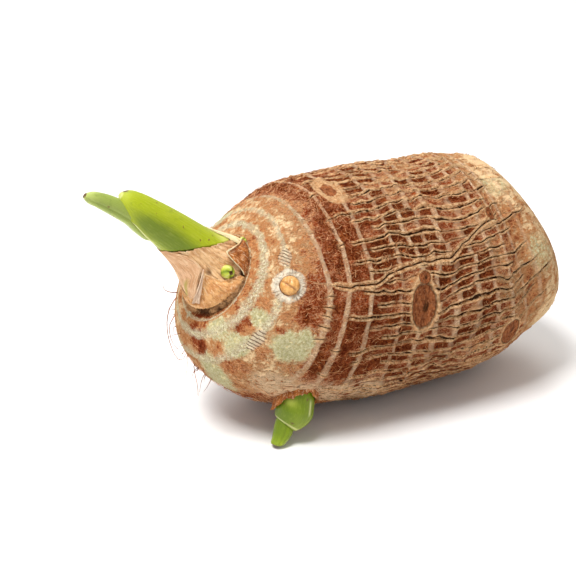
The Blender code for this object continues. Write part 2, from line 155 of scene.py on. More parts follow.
# The dormant side bud: distance along, angle, radius and height of its dome
BUD_ALONG = 8.3
BUD_ANGLE = 20.5
BUD_RADIUS = 4.2
BUD_HEIGHT = 2.6
HALO_RADIUS = 7.4

# The sunk stalk under each bud's dome: its depth, and its share of the dome's rows
STALK = 1.5
STALK_SHARE = 0.2

# How many loose fibres of each kind there are, before those on scars and green patches are left out
PALE_FIBRES = 5200
DARK_FIBRES = 3200
RIM_FIBRES = 1500
ROOT_HAIRS = 16


def smooth(stations, values, at, first_slope=None, last_slope=None):
    """The values of a smooth curve through the stations."""
    stations = np.asarray(stations, float)
    values = np.asarray(values, float)
    steps = np.diff(values) / np.diff(stations)
    slopes = np.empty(len(stations))
    slopes[0] = steps[0] if first_slope is None else first_slope
    slopes[-1] = steps[-1] if last_slope is None else last_slope
    slopes[1:-1] = np.where(steps[:-1] * steps[1:] > 0.0, (steps[:-1] + steps[1:]) / 2.0, 0.0)
    at = np.clip(at, stations[0], stations[-1])
    span = np.clip(np.searchsorted(stations, at) - 1, 0, len(steps) - 1)
    width = stations[span + 1] - stations[span]
    part = (at - stations[span]) / width
    rest = 1.0 - part
    level = values[span] * rest ** 2 * (1.0 + 2.0 * part) + values[span + 1] * part ** 2 * (3.0 - 2.0 * part)
    return level + part * rest * width * (slopes[span] * rest - slopes[span + 1] * part)


def ramp(low, high, at):
    """0 below low, 1 above high, and an even S between them."""
    part = np.clip((at - low) / (high - low), 0.0, 1.0)
    return part * part * (3.0 - 2.0 * part)


def fade(low, high, at):
    """1 below low, 0 above high, and an even S between them."""
    return 1.0 - ramp(low, high, at)


def hump(offset, width):
    """A round hump, 1 where the offset is 0."""
    return np.exp(-(offset / width) ** 2)


def grain(points, size, shift=0.0):
    """Smooth noise from -1 to 1 at each point, in lumps of that size."""
    place = np.asarray(points) / size + shift
    cell = np.floor(place).astype(int)
    part = place - cell
    ease = part * part * (3.0 - 2.0 * part)
    total = np.zeros(len(place))
    for corner in np.ndindex(2, 2, 2):
        weight = np.prod(np.where(corner, ease, 1.0 - ease), axis=1)
        spot = (cell + corner) % len(DICE)
        total += weight * DICE[spot[:, 0], spot[:, 1], spot[:, 2]]
    return total


def lumps(points):
    """The same slow noise that the part's own shape is made with."""
    return np.array([noise.noise(Vector(point)) for point in points])


def unit(vectors):
    return vectors / np.linalg.norm(vectors, axis=-1, keepdims=True)


def spine_middle(share):
    """Points on the corm's curved middle line."""
    crown_slope = -math.tan(math.radians(CROWN_PITCH)) * CORM_LENGTH
    tail_slope = math.tan(math.radians(TAIL_PITCH)) * CORM_LENGTH
    height = smooth(SPINE_AT, SPINE_HEIGHT, share, crown_slope, tail_slope)
    side = smooth(SPINE_AT, SPINE_SIDE, share, 0.0)
    return np.stack([(share - 0.5) * CORM_LENGTH, side, height - SINK], -1)


def section(share):
    """The middle of a section, its two directions, and the way along to the tail."""
    share = np.asarray(share, float)
    low = np.maximum(share - 0.002, 0.0)
    high = np.minimum(share + 0.002, 1.0)
    ahead = unit(spine_middle(high) - spine_middle(low))
    toward = unit(np.cross(ahead, UP))
    above = unit(np.cross(toward, ahead))
    return spine_middle(share), toward, above, ahead


def girth_at(along):
    share = np.clip(along / CORM_LENGTH, 0.0, 1.0)
    return smooth(GIRTH_AT, GIRTH, share) * np.sqrt(np.maximum(0.0, 1.0 - share ** TAIL_CLOSING))


def corm_point(along, angle, rise=0.0):
    """Points on the corm's skin, raised by rise, with angles in radians."""
    middle, toward, above, _ = section(np.clip(along / CORM_LENGTH, 0.0, 1.0))
    spoke = toward * np.cos(angle)[..., None] + above * np.sin(angle)[..., None]
    return middle + spoke * (girth_at(along) + rise)[..., None]


def spot_on_corm(along, degrees, rise=0.0):
    """One point of the corm's skin and the way out of it."""
    angle = np.radians(np.array([degrees, degrees, degrees, degrees + 0.5, degrees - 0.5]))
    places = np.array([along, along + 0.4, along - 0.4, along, along])
    points = corm_point(places, angle, np.full(5, rise))
    out = unit(np.cross(points[3] - points[4], points[1] - points[2]))
    middle = section(np.array([along / CORM_LENGTH]))[0][0]
    return points[0], out if out @ (points[0] - middle) > 0.0 else -out


def around_mm(along, angle, degrees):
    """Millimetres around the skin from an angle in degrees."""
    turn = (np.degrees(angle) - degrees + 180.0) % 360.0 - 180.0
    return np.radians(turn) * smooth(GIRTH_AT, GIRTH, along / CORM_LENGTH)


def linear(level):
    level /= 255.0
    return level / 12.92 if level <= 0.04045 else ((level + 0.055) / 1.055) ** 2.4


def tone(red, green, blue):
    """A colour as the eye reads it, 0 to 255, for a shader."""
    return (linear(red), linear(green), linear(blue), 1.0)


class Value:
    """A number that a material works out from place to place, for plain sums."""

    def __init__(self, paint, socket):
        self.paint = paint
        self.socket = socket

    def __add__(self, other):
        return self.paint.math("ADD", self, other)

    def __sub__(self, other):
        return self.paint.math("SUBTRACT", self, other)

    def __rsub__(self, other):
        return self.paint.math("SUBTRACT", other, self)

    def __mul__(self, other):
        return self.paint.math("MULTIPLY", self, other)

    def __abs__(self):
        return self.paint.math("ABSOLUTE", self)


class Paint:
    """A material's nodes, with short ways to add to them."""

    def __init__(self, name, shine=0.5):
        self.material = bpy.data.materials.new(name)
        self.material.use_nodes = True
        self.tree = self.material.node_tree
        self.shader = self.tree.nodes["Principled BSDF"]
        self.shader.inputs["Specular IOR Level"].default_value = shine
        self.place = self.node("ShaderNodeTexCoord").outputs["Object"]

    def node(self, kind, **settings):
        made = self.tree.nodes.new(kind)
        for key, value in settings.items():
            setattr(made, key, value)
        return made

    def feed(self, socket, value):
        if isinstance(value, Value):
            value = value.socket
        if isinstance(value, bpy.types.NodeSocket):
            self.tree.links.new(value, socket)
        else:
            socket.default_value = value

    def math(self, operation, first, second=0.0, third=0.0):
        made = self.node("ShaderNodeMath", operation=operation)
        for socket, value in zip(made.inputs, (first, second, third)):
            self.feed(socket, value)
        return Value(self, made.outputs[0])

    def larger(self, first, second):
        return self.math("MAXIMUM", first, second)

    def off_whole(self, value):
        """How far a value is from the nearest whole number."""
        return self.math("PINGPONG", value, 0.5)

    def centred(self, value, span):
        """A value from 0 to 1 turned to one from minus to plus half the span."""
        return self.math("MULTIPLY_ADD", value, span, -span / 2.0)

    def step(self, value, low, high):
        """0 below low, 1 above high; with high below low it runs the other way."""
        made = self.node("ShaderNodeMapRange", interpolation_type="SMOOTHSTEP")
        ends = (low, high, 0.0, 1.0) if low < high else (high, low, 1.0, 0.0)
        for name, end in zip(("From Min", "From Max", "To Min", "To Max"), ends):
            made.inputs[name].default_value = end
        self.feed(made.inputs["Value"], value)
        return Value(self, made.outputs[0])

    def mix(self, factor, first, second):
        """The first colour where the factor is 0 and the second where it is 1."""
        made = self.node("ShaderNodeMix", data_type="RGBA")
        self.feed(made.inputs[0], factor)
        self.feed(made.inputs[6], first)
        self.feed(made.inputs[7], second)
        return made.outputs[2]

    def field(self, name, part="Fac"):
        """A value that the mesh carries, 0 where it carries none of that name."""
        return Value(self, self.node("ShaderNodeAttribute", attribute_name=name).outputs[part])

    def parts(self, vector):
        made = self.node("ShaderNodeSeparateXYZ")
        self.feed(made.inputs[0], vector)
        return [Value(self, socket) for socket in made.outputs]

    def join(self, *values):
        made = self.node("ShaderNodeCombineXYZ")
        for socket, value in zip(made.inputs, values):
            self.feed(socket, value)
        return made.outputs[0]

    def uv(self, name="skin"):
        return self.node("ShaderNodeUVMap", uv_map=name).outputs[0]

    def stretch(self, vector, scale):
        made = self.node("ShaderNodeMapping")
        self.feed(made.inputs["Vector"], vector)
        made.inputs["Scale"].default_value = scale
        return made.outputs[0]

    def noise(self, vector, scale, detail=3.0, rough=0.6, bend=0.0):
        made = self.node("ShaderNodeTexNoise")
        self.feed(made.inputs["Vector"], vector)
        made.inputs["Scale"].default_value = scale
        made.inputs["Detail"].default_value = detail
        made.inputs["Roughness"].default_value = rough
        made.inputs["Distortion"].default_value = bend
        return Value(self, made.outputs["Fac"])

    def thread(self, vector, scale, width, bend):
        """Thin winding lines, as of hairs that lie on the skin."""
        wave = self.noise(vector, scale, 2.0, 0.5, bend)
        return self.step(abs(wave - 0.5), width, width * 0.3)

    def finish(self, colour, roughness, height, depth, strength=1.0):
        """Colour, roughness and a bump whose full height is depth metres."""
        self.feed(self.shader.inputs["Base Color"], colour)
        self.feed(self.shader.inputs["Roughness"], roughness)
        bump = self.node("ShaderNodeBump")
        bump.inputs["Strength"].default_value = strength
        bump.inputs["Distance"].default_value = depth
        self.feed(bump.inputs["Height"], height)
        self.feed(self.shader.inputs["Normal"], bump.outputs[0])
        return self.material


def bark_paint():
    """Fuzzy brown bark with pale rings, dark cracks with rope-like lips, scars and green patches; the
    cracks' dark lines carry painted shadow as well as their own dark.
    """
    beige = tone(222, 190, 146)
    orange = tone(206, 142, 90)
    rust = tone(142, 62, 30)
    maroon = tone(74, 22, 6)
    rope_light = tone(250, 210, 160)
    rope_dark = tone(206, 146, 92)
    light_fibre = tone(248, 206, 160)
    warm_fibre = tone(200, 112, 60)
    # Near-black of the cracks, which also paints the shadow inside them; the deep scars' edge line uses it
    # too
    crack_dark = tone(50, 23, 12)
    paint = Paint("bark", shine=0.02)
    lane, step, _ = paint.parts(paint.uv("bark"))
    fine = paint.noise(paint.place, 900.0, 4.0, 0.7)
    grit = paint.noise(paint.place, 1150.0, 2.0, 0.6)
    streak = paint.noise(paint.stretch(paint.place, (0.3, 1.0, 1.0)), 900.0, 4.0, 0.75, 0.5)
    mottle = paint.noise(paint.place, 230.0, 4.0, 0.65)
    flake = paint.noise(paint.stretch(paint.place, (0.75, 1.0, 1.0)), 430.0, 5.0, 0.75, 1.4)
    hair = paint.thread(paint.place, 420.0, 0.045, 1.6)
    hair = paint.larger(hair, paint.thread(paint.stretch(paint.place, (0.6, 1.3, 1.3)), 330.0, 0.04, 2.4))

    wobble = paint.centred(mottle, 0.5)
    crack_mm = paint.off_whole(lane) * paint.field("lane_mm")
    crack_mm = abs(crack_mm + paint.centred(fine, 0.3))
    crack_here = paint.field("crack")
    split_mm = abs(paint.field("split") + paint.centred(fine, 0.4))
    wide = crack_here * (mottle * 1.6 - 0.6)
    # The thin crack line: the crack's own dark colour plus painted shadow inside it
    line = paint.step(crack_mm - wide, 0.2, -0.06) * paint.step(crack_here, 0.1, 0.4)
    line = paint.larger(line, paint.step(split_mm, 0.42, 0.12))
    rope = paint.step(crack_mm + wobble, 1.45, 0.9) * paint.step(crack_here, 0.15, 0.6)
    rope = paint.larger(rope, paint.step(split_mm + wobble, 2.1, 1.3))

    ring_mm = paint.off_whole(step) * paint.field("ring_mm")
    ragged = ring_mm + (paint.centred(streak, 2.2) + paint.centred(mottle, 1.6))
    ragged += paint.field("near_crown") * 0.45
    band = paint.step(ragged, 1.7, 0.8) * paint.field("ring")

    cell = paint.node("ShaderNodeTexWhiteNoise", noise_dimensions="2D")
    paint.feed(cell.inputs["Vector"], paint.join(paint.math("FLOOR", lane), paint.math("FLOOR", step)))
    brick = paint.centred(cell.outputs["Value"], 0.7) * paint.field("body")
    redness = paint.field("red") + brick
    redness += paint.centred(mottle, 1.3)
    redness += paint.centred(streak, 0.8)
    redness += paint.centred(fine, 0.6)
    skin = paint.mix(paint.step(redness, 0.12, 0.42), beige, orange)
    skin = paint.mix(paint.step(redness, 0.42, 0.72), skin, rust)
    skin = paint.mix(paint.step(redness, 0.72, 1.1), skin, maroon)
    fuzzy = paint.step(redness, 0.15, 0.5)
    hair_skin = paint.mix(paint.step(redness, 0.6, 1.0), light_fibre, warm_fibre)
    shag = paint.field("shag")
    shaggy = (fuzzy * 0.45 + 0.2) * shag
    skin = paint.mix(paint.step(flake, 0.46, 0.4) * shaggy, skin, maroon)
    skin = paint.mix(paint.step(flake, 0.58, 0.63) * shaggy, skin, warm_fibre)
    skin = paint.mix(paint.step(grit, 0.62, 0.7) * 0.25, skin, warm_fibre)
    skin = paint.mix(hair * fuzzy * (shag * 0.42), skin, hair_skin)
    torn = paint.step(paint.field("torn") + paint.centred(mottle, 0.8), 0.25, 0.75)
    shred = paint.noise(paint.stretch(paint.place, (0.3, 1.0, 1.0)), 420.0, 4.0, 0.7, 0.6)
    skin = paint.mix(paint.step(shred, 0.4, 0.5) * torn, skin, tone(230, 194, 154))
    skin = paint.mix(paint.step(shred, 0.42, 0.34) * torn, skin, rust)
    skin = paint.mix(paint.step(streak, 0.42, 0.36) * (torn * 0.8), skin, maroon)
    skin = paint.mix(paint.step(grit, 0.42, 0.32) * 0.35, skin, maroon)

    greenness = paint.field("green") + (paint.centred(mottle, 1.2) + paint.centred(flake, 2.0))
    greenness += paint.centred(fine, 1.6)
    smooth_green = paint.step(greenness, 0.1, 0.95) * paint.step(paint.field("green"), 0.02, 0.3)
    mossy = paint.mix(paint.step(fine, 0.38, 0.66), tone(194, 190, 136), tone(230, 226, 184))
    skin = paint.mix(smooth_green * 0.88, skin, mossy)
    pale_band = paint.mix(paint.step(streak, 0.35, 0.65), tone(214, 168, 124), tone(252, 224, 186))
    crown_band = paint.mix(paint.step(streak, 0.35, 0.65), tone(210, 200, 156), tone(244, 238, 206))
    pale_band = paint.mix(paint.field("near_crown"), pale_band, crown_band)
    pale_band = paint.mix(paint.step(fine, 0.56, 0.7) * 0.4, pale_band, orange)
    worn = fine * 0.6 + mottle * 0.4
    whole = paint.step(worn, 0.4, 0.52) * 0.5 + 0.42
    skin = paint.mix(band * whole, skin, pale_band)
    skin = paint.mix(hair * (band * 0.45), skin, rust)
    rope_skin = paint.mix(paint.step(fine, 0.36, 0.62), rope_dark, rope_light)
    rope_skin = paint.mix(paint.step(mottle, 0.52, 0.7) * 0.4, rope_skin, rust)
    skin = paint.mix(rope * whole, skin, rope_skin)
    skin = paint.mix(line * 0.95, skin, crack_dark)

    scar_place = paint.field("scar", "Vector")
    scar_x, scar_y, eye = paint.parts(scar_place)
    scar_reach = paint.field("scar_reach") + paint.centred(mottle, 0.3)
    grainy = paint.noise(paint.stretch(scar_place, (1.0, 0.5, 1.0)), 5.0, 4.0, 0.7)
    scar_skin = paint.mix(paint.step(grainy, 0.35, 0.65), tone(112, 58, 34), tone(184, 112, 68))
    scar_skin = paint.mix(paint.step(fine, 0.52, 0.68) * 0.45, scar_skin, tone(222, 164, 118))
    pit = abs(scar_y + 0.1) * 0.75 + abs(scar_x - 0.3 + paint.centred(grainy, 1.1))
    pit = paint.step(pit, 0.36, 0.1) * paint.step(eye, 0.6, 0.4)
    scar_skin = paint.mix(pit * 0.85, scar_skin, tone(62, 40, 22))
    eye_ring = paint.step(scar_reach + paint.centred(fine, 0.4), 0.5, 0.62) * eye
    scar_skin = paint.mix(eye_ring * 0.8, scar_skin, rope_skin)
    scar_rim = paint.step(scar_reach, 0.86, 1.0) * paint.step(scar_reach, 1.34, 1.12)
    skin = paint.mix(scar_rim * 0.75, skin, rope_skin)
    scar_here = paint.step(scar_reach, 0.98, 0.88)
    skin = paint.mix(scar_here, skin, scar_skin)
    edge_line = paint.step(scar_reach, 0.86, 0.94) * paint.step(scar_reach, 1.04, 0.98)
    edge_line *= paint.step(eye, 0.6, 0.4)
    skin = paint.mix(edge_line * 0.6, skin, crack_dark)

    bud_x, bud_y, _ = paint.parts(paint.field("bud", "Vector"))
    bud_mm = paint.field("bud_mm")
    spoke = paint.math("ARCTAN2", bud_y, bud_x) * (26.0 / math.tau)
    spoke_gap = paint.off_whole(spoke + mottle * 1.6)
    tick = paint.step(spoke_gap, 0.2, 0.08) * paint.step(mottle, 0.47, 0.53)
    tick *= paint.step(bud_mm, 5.4, 6.0) * paint.step(bud_mm, 8.2, 7.2)
    halo = paint.step(bud_mm + paint.centred(mottle, 3.4), 8.0, 6.6)
    halo_skin = paint.mix(paint.step(fine, 0.35, 0.65), tone(214, 190, 160), tone(250, 240, 218))
    skin = paint.mix(halo, skin, halo_skin)
    skin = paint.mix(tick * 0.6, skin, tone(132, 88, 58))
    skin = paint.mix(paint.step(bud_mm, 4.75, 4.25), skin, tone(120, 74, 38))

    uneven = paint.field("ladder_mm") * 0.62 + mottle * 1.5
    rung = paint.step(paint.off_whole(uneven), 0.2, 0.08) * paint.step(paint.field("ladder"), 0.3, 0.7)
    skin = paint.mix(paint.step(paint.field("ladder") + paint.centred(fine, 1.0), 0.45, 0.9) * 0.6, skin,
                     tone(238, 218, 188))
    skin = paint.mix(rung * 0.8, skin, tone(104, 64, 42))
    # Painted shade on the sunk seat under the crown husk, in dark brown
    skin = paint.mix(paint.field("seat") * 0.85, skin, tone(112, 72, 42))

    height = streak * (fuzzy * 0.5 + 0.15)
    height += fine * (smooth_green * -0.35 + 0.5)
    height += hair * (fuzzy * 0.3)
    height += flake * (fuzzy * shag * 0.9 + 0.3)
    height += rope * 0.45
    height -= line * 1.2
    height -= paint.larger(tick, rung) * 0.5
    height -= pit * (scar_here * 0.8)
    rough = 0.84 - paint.larger(smooth_green, scar_here) * 0.3
    return paint.finish(skin, rough, height, 0.001, 0.9)


def husk_paint(name, light, dark, line):
    """Dry papery leaf base with fine fibres that run out along the shoot."""
    paint = Paint(name, shine=0.15)
    around, out, _ = paint.parts(paint.uv())
    thread = paint.noise(paint.join(around, out * 0.06, 0.0), 70.0, 5.0, 0.75, 0.2)
    coarse = paint.noise(paint.join(around, out * 0.3, 0.0), 14.0, 2.0, 0.5)
    mottle = paint.noise(paint.place, 320.0, 4.0, 0.7)
    speck = paint.noise(paint.place, 800.0, 2.0, 0.5)
    colour = paint.mix(paint.step(coarse + paint.centred(mottle, 0.5), 0.35, 0.65), dark, light)
    colour = paint.mix(paint.step(thread, 0.52, 0.62) * 0.6, colour, tone(250, 222, 182))
    colour = paint.mix(paint.step(thread, 0.46, 0.36) * 0.6, colour, line)
    colour = paint.mix(paint.step(speck, 0.64, 0.74) * 0.35, colour, line)
    shade = paint.field("shade") + paint.centred(mottle, 0.5)
    colour = paint.mix(paint.step(shade, 0.3, 0.9) * 0.9, colour, tone(54, 32, 20))
    pale = paint.field("pale") + paint.centred(mottle, 0.4)
    colour = paint.mix(paint.step(pale, 0.3, 0.8) * 0.85, colour, tone(236, 222, 180))
    colour = paint.mix(paint.field("fresh") * 0.85, colour, tone(178, 164, 60))
    height = thread + mottle * 0.35
    return paint.finish(colour, mottle * 0.25 + 0.5, height, 0.0009, 0.9)


def leaf_paint(name, young, fresh, deep, pale):
    """Smooth waxy green leaf with fine veins, a pale margin and a few brown specks."""
    paint = Paint(name, shine=0.3)
    around, out, _ = paint.parts(paint.uv())
    vein = paint.noise(paint.join(around, out * 0.06, 0.0), 150.0, 3.0, 0.6)
    broad = paint.noise(paint.join(around, out * 0.15, 0.0), 7.0, 2.0, 0.5)
    mottle = paint.noise(paint.place, 300.0, 3.0, 0.6)
    depth = paint.field("deep") + paint.centred(broad, 0.5)
    depth += paint.centred(mottle, 0.3)
    colour = paint.mix(paint.step(depth, 0.05, 0.9), fresh, deep)
    colour = paint.mix(paint.field("young"), colour, young)
    colour = paint.mix(paint.step(vein, 0.5, 0.66) * 0.12, colour, young)
    colour = paint.mix(paint.step(vein, 0.48, 0.36) * 0.15, colour, deep)
    colour = paint.mix(paint.step(mottle, 0.45, 0.3) * 0.25, colour, deep)
    fleck = paint.step(paint.noise(paint.place, 430.0, 1.0, 0.4), 0.72, 0.76)
    colour = paint.mix(fleck * 0.8, colour, tone(118, 92, 36))
    colour = paint.mix(paint.field("margin") * 0.9, colour, pale)
    brown = paint.field("brown") + paint.centred(mottle, 0.5)
    colour = paint.mix(paint.step(brown, 0.4, 0.75), colour, tone(92, 62, 32))
    height = vein + mottle * 0.3
    paint.shader.inputs["Subsurface Weight"].default_value = 0.05
    paint.shader.inputs["Subsurface Radius"].default_value = (0.0015, 0.002, 0.0006)
    paint.shader.inputs["Coat Weight"].default_value = 0.05
    paint.shader.inputs["Coat Roughness"].default_value = 0.3
    return paint.finish(colour, mottle * 0.2 + 0.3, height, 0.00018, 0.6)


def bud_paint():
    """Amber bud scale with painted shade where the scale folds and around its foot."""
    paint = Paint("dormant_bud")
    around, out, _ = paint.parts(paint.uv())
    thread = paint.noise(paint.join(around, out * 0.3, 0.0), 26.0, 4.0, 0.7)
    mottle = paint.noise(paint.place, 500.0, 4.0, 0.65)
    colour = paint.mix(paint.step(mottle, 0.35, 0.65), tone(190, 128, 58), tone(222, 168, 96))
    colour = paint.mix(paint.step(thread, 0.52, 0.7) * 0.5, colour, tone(236, 196, 132))
    # Painted shade in the fold and at the dome's foot, from the shade field
    colour = paint.mix(paint.field("shade"), colour, tone(116, 62, 26))
    paint.shader.inputs["Coat Weight"].default_value = 0.15
    return paint.finish(colour, mottle * 0.3 + 0.3, thread, 0.0003, 0.6)


def fibre_paint(name, light, dark):
    paint = Paint(name, shine=0.03)
    change = paint.noise(paint.place, 170.0, 3.0, 0.6)
    fine = paint.noise(paint.place, 1500.0, 2.0, 0.6)
    colour = paint.mix(paint.step(change, 0.35, 0.65), dark, light)
    return paint.finish(colour, fine * 0.2 + 0.6, fine, 0.0001, 0.5)


def add_field(mesh, name, values):
    """Give each point of the mesh its value, or all points the same one."""
    layer = mesh.attributes.new(name, "FLOAT", "POINT")
    layer.data.foreach_set("value", np.full(len(mesh.vertices), values, np.float32))


def add_vector_field(mesh, name, values):
    layer = mesh.attributes.new(name, "FLOAT_VECTOR", "POINT")
    layer.data.foreach_set("vector", values.astype(np.float32).ravel())


def dress(obj, material, slot, *nodes):
    """Give a piece its material and its body, and hide the solids that it stands for; slot is not used."""
    obj.data.materials.append(material)
    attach(obj, "root")
    if nodes:
        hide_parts(*nodes)
    return obj


def mesh_of(bm, name):
    """A mesh with the bmesh's shape, which is then let go."""
    mesh = bpy.data.meshes.new(name)
    bm.to_mesh(mesh)
    bm.free()
    return mesh


def read_points(mesh):
    flat = np.empty(len(mesh.vertices) * 3)
    mesh.vertices.foreach_get("co", flat)
    return flat.reshape(-1, 3)


def write_points(mesh, points):
    """Move the mesh's points to these places in millimetres."""
    mesh.vertices.foreach_set("co", (points * MM).ravel())


def spun_mesh(name, rows, columns):
    """A tube of rows by columns, its ends filled, before it is shaped."""
    bm = bmesh.new()
    side = [bm.verts.new((row, 1.0, 0.0)) for row in range(rows)]
    edges = [bm.edges.new(pair) for pair in zip(side, side[1:])]
    bmesh.ops.spin(bm, geom=side + edges, cent=(0, 0, 0), axis=(1, 0, 0), angle=math.tau, steps=columns,
                   use_merge=True)
    bmesh.ops.holes_fill(bm, edges=[edge for edge in bm.edges if edge.is_boundary], sides=0)
    return mesh_of(bm, name)


def seam_safe_uv(mesh, name, across, along, period):
    """A UV map whose first value goes round once, with no jump inside a face."""
    corners = np.empty(len(mesh.loops), np.int32)
    mesh.loops.foreach_get("vertex_index", corners)
    starts = np.empty(len(mesh.polygons), np.int32)
    totals = np.empty(len(mesh.polygons), np.int32)
    mesh.polygons.foreach_get("loop_start", starts)
    mesh.polygons.foreach_get("loop_total", totals)
    value = across[corners].copy()
    face_high = np.repeat(np.maximum.reduceat(value, starts), totals)
    face_low = np.repeat(np.minimum.reduceat(value, starts), totals)
    wraps = (face_high - face_low > period * 0.5) & (value < period * 0.5)
    value[wraps] += period
    layer = mesh.uv_layers.new(name=name)
    layer.uv.foreach_set("vector", np.stack([value, along[corners]], 1).astype(np.float32).ravel())


def finished(name, mesh):
    """A smooth-shaded object whose faces point out."""
    bm = bmesh.new()
    bm.from_mesh(mesh)
    bmesh.ops.recalc_face_normals(bm, faces=bm.faces)
    bm.to_mesh(mesh)
    bm.free()
    mesh.shade_smooth()
    mesh.update()
    piece = bpy.data.objects.new(name, mesh)
    bpy.context.collection.objects.link(piece)
    return piece


def shaped(name, mesh, points, across, along, fields):
    """A finished piece with its points, a UV map across and along it, and its fields."""
    write_points(mesh, points)
    seam_safe_uv(mesh, "skin", across, along, 1.0)
    for field, values in fields.items():
        add_field(mesh, field, values)
    return finished(name, mesh)


def turned(name, rows, columns, place, fields):
    """A form of rows around an axis: place(row shares, angles) gives the points."""
    mesh = spun_mesh(name, rows, columns)
    row, right, up = read_points(mesh).T
    share = np.round(row) / (rows - 1)
    angle = np.arctan2(up, right)
    return shaped(name, mesh, place(share, angle), (angle / math.tau) % 1.0, share, fields(share, angle))


def sheet(name, columns, rows, place, thickness, fields):
    """A thin sheet: place(across, along), both from 0 to 1, gives its points."""
    bm = bmesh.new()
    bmesh.ops.create_grid(bm, x_segments=columns, y_segments=rows, size=1.0)
    mesh = mesh_of(bm, name)
    across, along, _ = (read_points(mesh).T + 1.0) / 2.0
    piece = shaped(name, mesh, place(across, along), across * 0.4, along, fields(across, along))
    solid = piece.modifiers.new("thickness", "SOLIDIFY")
    solid.thickness = thickness * MM
    solid.offset = 0.0
    return piece


def fibres(name, strands, radius):
    """Fine fibres: each strand is a list of points, thinning to its tip."""
    curve = bpy.data.curves.new(name, "CURVE")
    curve.dimensions = "3D"
    curve.bevel_depth = radius * MM
    curve.bevel_resolution = 0
    curve.resolution_u = 2
    for strand in strands:
        spline = curve.splines.new("NURBS")
        spline.points.add(len(strand) - 1)
        spline.order_u = 3
        spline.use_endpoint_u = True
        for number, (point, spot) in enumerate(zip(spline.points, strand)):
            point.co = (*(spot * MM), 1.0)
            point.radius = 1.0 - 0.75 * number / (len(strand) - 1)
    piece = bpy.data.objects.new(name, curve)
    bpy.context.collection.objects.link(piece)
    return piece


def corm_profile(rows):
    """Row distances, evenly spaced along the skin from the seat's floor to the tail."""
    start = SEAT_RADIUS - GIRTH[0] - 3.0
    fine = np.concatenate([np.linspace(start, 0.0, 80), np.linspace(0.02, CORM_LENGTH, 4000)])
    radius = np.where(fine < 0.0, GIRTH[0] + fine, girth_at(fine))
    reach = np.hypot(np.diff(radius), np.diff(np.maximum(fine, 0.0)))
    run = np.concatenate([[0.0], np.cumsum(reach)])
    return np.interp(np.linspace(0.0, run[-1], rows), run, fine)


def ring_place(number, angle):
    """Where a ring lies along, at each angle: a few of the crown's rings stand askew."""
    count, reach, lag = ASKEW.get(number, (1, 0.5, 0.0))
    return RINGS[number] + reach * np.sin(count * (angle - math.radians(lag)))


def ring_steps(rows, angle):
    """The ring count with its fraction, and the distance between the two nearest rings."""
    places = [np.full_like(rows, -30.0), np.full_like(rows, RIM_RING)]
    places += [ring_place(number, angle) for number in range(len(RINGS))]
    places.append(np.full_like(rows, CORM_LENGTH + 25.0))
    step = np.zeros_like(rows)
    gap = np.ones_like(rows)
    for number, (ring, following) in enumerate(zip(places, places[1:])):
        inside = (rows >= ring) & (rows < following)
        step[inside] = number + ((rows - ring) / (following - ring))[inside]
        gap[inside] = (following - ring)[inside]
    return step, gap


def patches(along, angle, places):
    """1 inside the listed soft patches and 0 outside."""
    amount = np.zeros_like(along)
    for at, degrees, half_length, half_width in places:
        reach = np.hypot((along - at) / half_length,
                         around_mm(np.maximum(along, 1.0), angle, degrees) / half_width)
        amount = np.maximum(amount, fade(0.55, 1.25, reach))
    return amount


def scar_steps(along, turn, at, degrees, half_length, half_width):
    """Distances from a scar's centre, along and around, in its half sizes."""
    return (along - at) / half_length, around_mm(along, turn, degrees) / half_width


def scar_marks(along, turn):
    """Where each place lies in its nearest scar, in half sizes, and the relief of all scars."""
    scar = np.full((len(along), 3), FAR_OFF)
    relief = np.zeros_like(along)
    for at, degrees, half_length, half_width, depth in SCARS:
        near = scar_steps(along, turn, at, degrees, half_length, half_width)
        reach = np.hypot(*near)
        closer = reach < np.hypot(scar[:, 0], scar[:, 1])
        scar[closer] = np.stack([*near, np.full_like(along, depth < EYE_DEPTH)], 1)[closer]
        relief += 0.75 * hump(reach - 1.08, 0.2) * min(1.0, depth) - depth * fade(0.55, 1.0, reach)
    return scar, relief


def furrows(along, lane, lane_mm, step, ring_off):
    """How open the furrow between two lanes is at each place, and how far off it lies."""
    nearest = np.round(lane)
    key = np.mod(nearest, LANES)
    start = np.interp(np.mod(key * 0.618, 1.0), (0.0, 1.0), CRACK_STARTS)
    end = np.interp(np.mod(key * 0.414 + 0.3, 1.0), (0.0, 1.0), CRACK_ENDS)
    breaks = grain(np.stack([key * 7.13, along / 9.0, np.full_like(along, 3.0)], 1), 1.0)
    open_by = (0.35 + 0.65 * ramp(-0.55, -0.15, breaks)) * ramp(-5.0, 5.0, along - start)
    open_by = open_by * ramp(-8.0, 8.0, end - along)
    rung = grain(np.stack([key * 3.71, np.round(step) * 5.3, np.full_like(along, 8.0)], 1), 1.0)
    near_crown = ramp(14.0, 20.0, along) * fade(44.0, 56.0, along)
    open_by = np.maximum(open_by, 0.5 * ramp(0.1, 0.3, rung) * hump(ring_off, 3.2) * near_crown)
    return open_by, np.abs(lane - nearest) * lane_mm


def long_crack(along, turn, shake):
    """How far around the long crack lies, up to 4 mm, and where it is open."""
    split = (turn - np.radians(smooth(LONG_CRACK_AT, LONG_CRACK_ANGLE, along))) * girth_at(along) + shake
    ends = ramp(18.0, 30.0, along) * fade(128.0, 138.0, along)
    return np.clip(split + np.sign(split) * (1.0 - ends) * 3.0, -4.0, 4.0), ends


def redness(rows, along, turn, plain, brown):
    """How reddish brown the bark is, with its soft patches."""
    degrees = np.degrees(turn)
    red = np.interp(rows, RED_AT, RED) + 0.17 * grain(plain, 14.0, 4.0) + 0.3 * brown
    for amount, angle, width, at, length in RED_SPOTS:
        red += amount * hump(degrees - angle, width) * hump(along - at, length)
    red -= 0.14 * hump(degrees - 75.0, 30.0) * ramp(60.0, 80.0, along)
    red -= 0.25 * ramp(0.0, 0.6, grain(plain, 30.0, 11.0)) * ramp(90.0, 120.0, along)
    return red


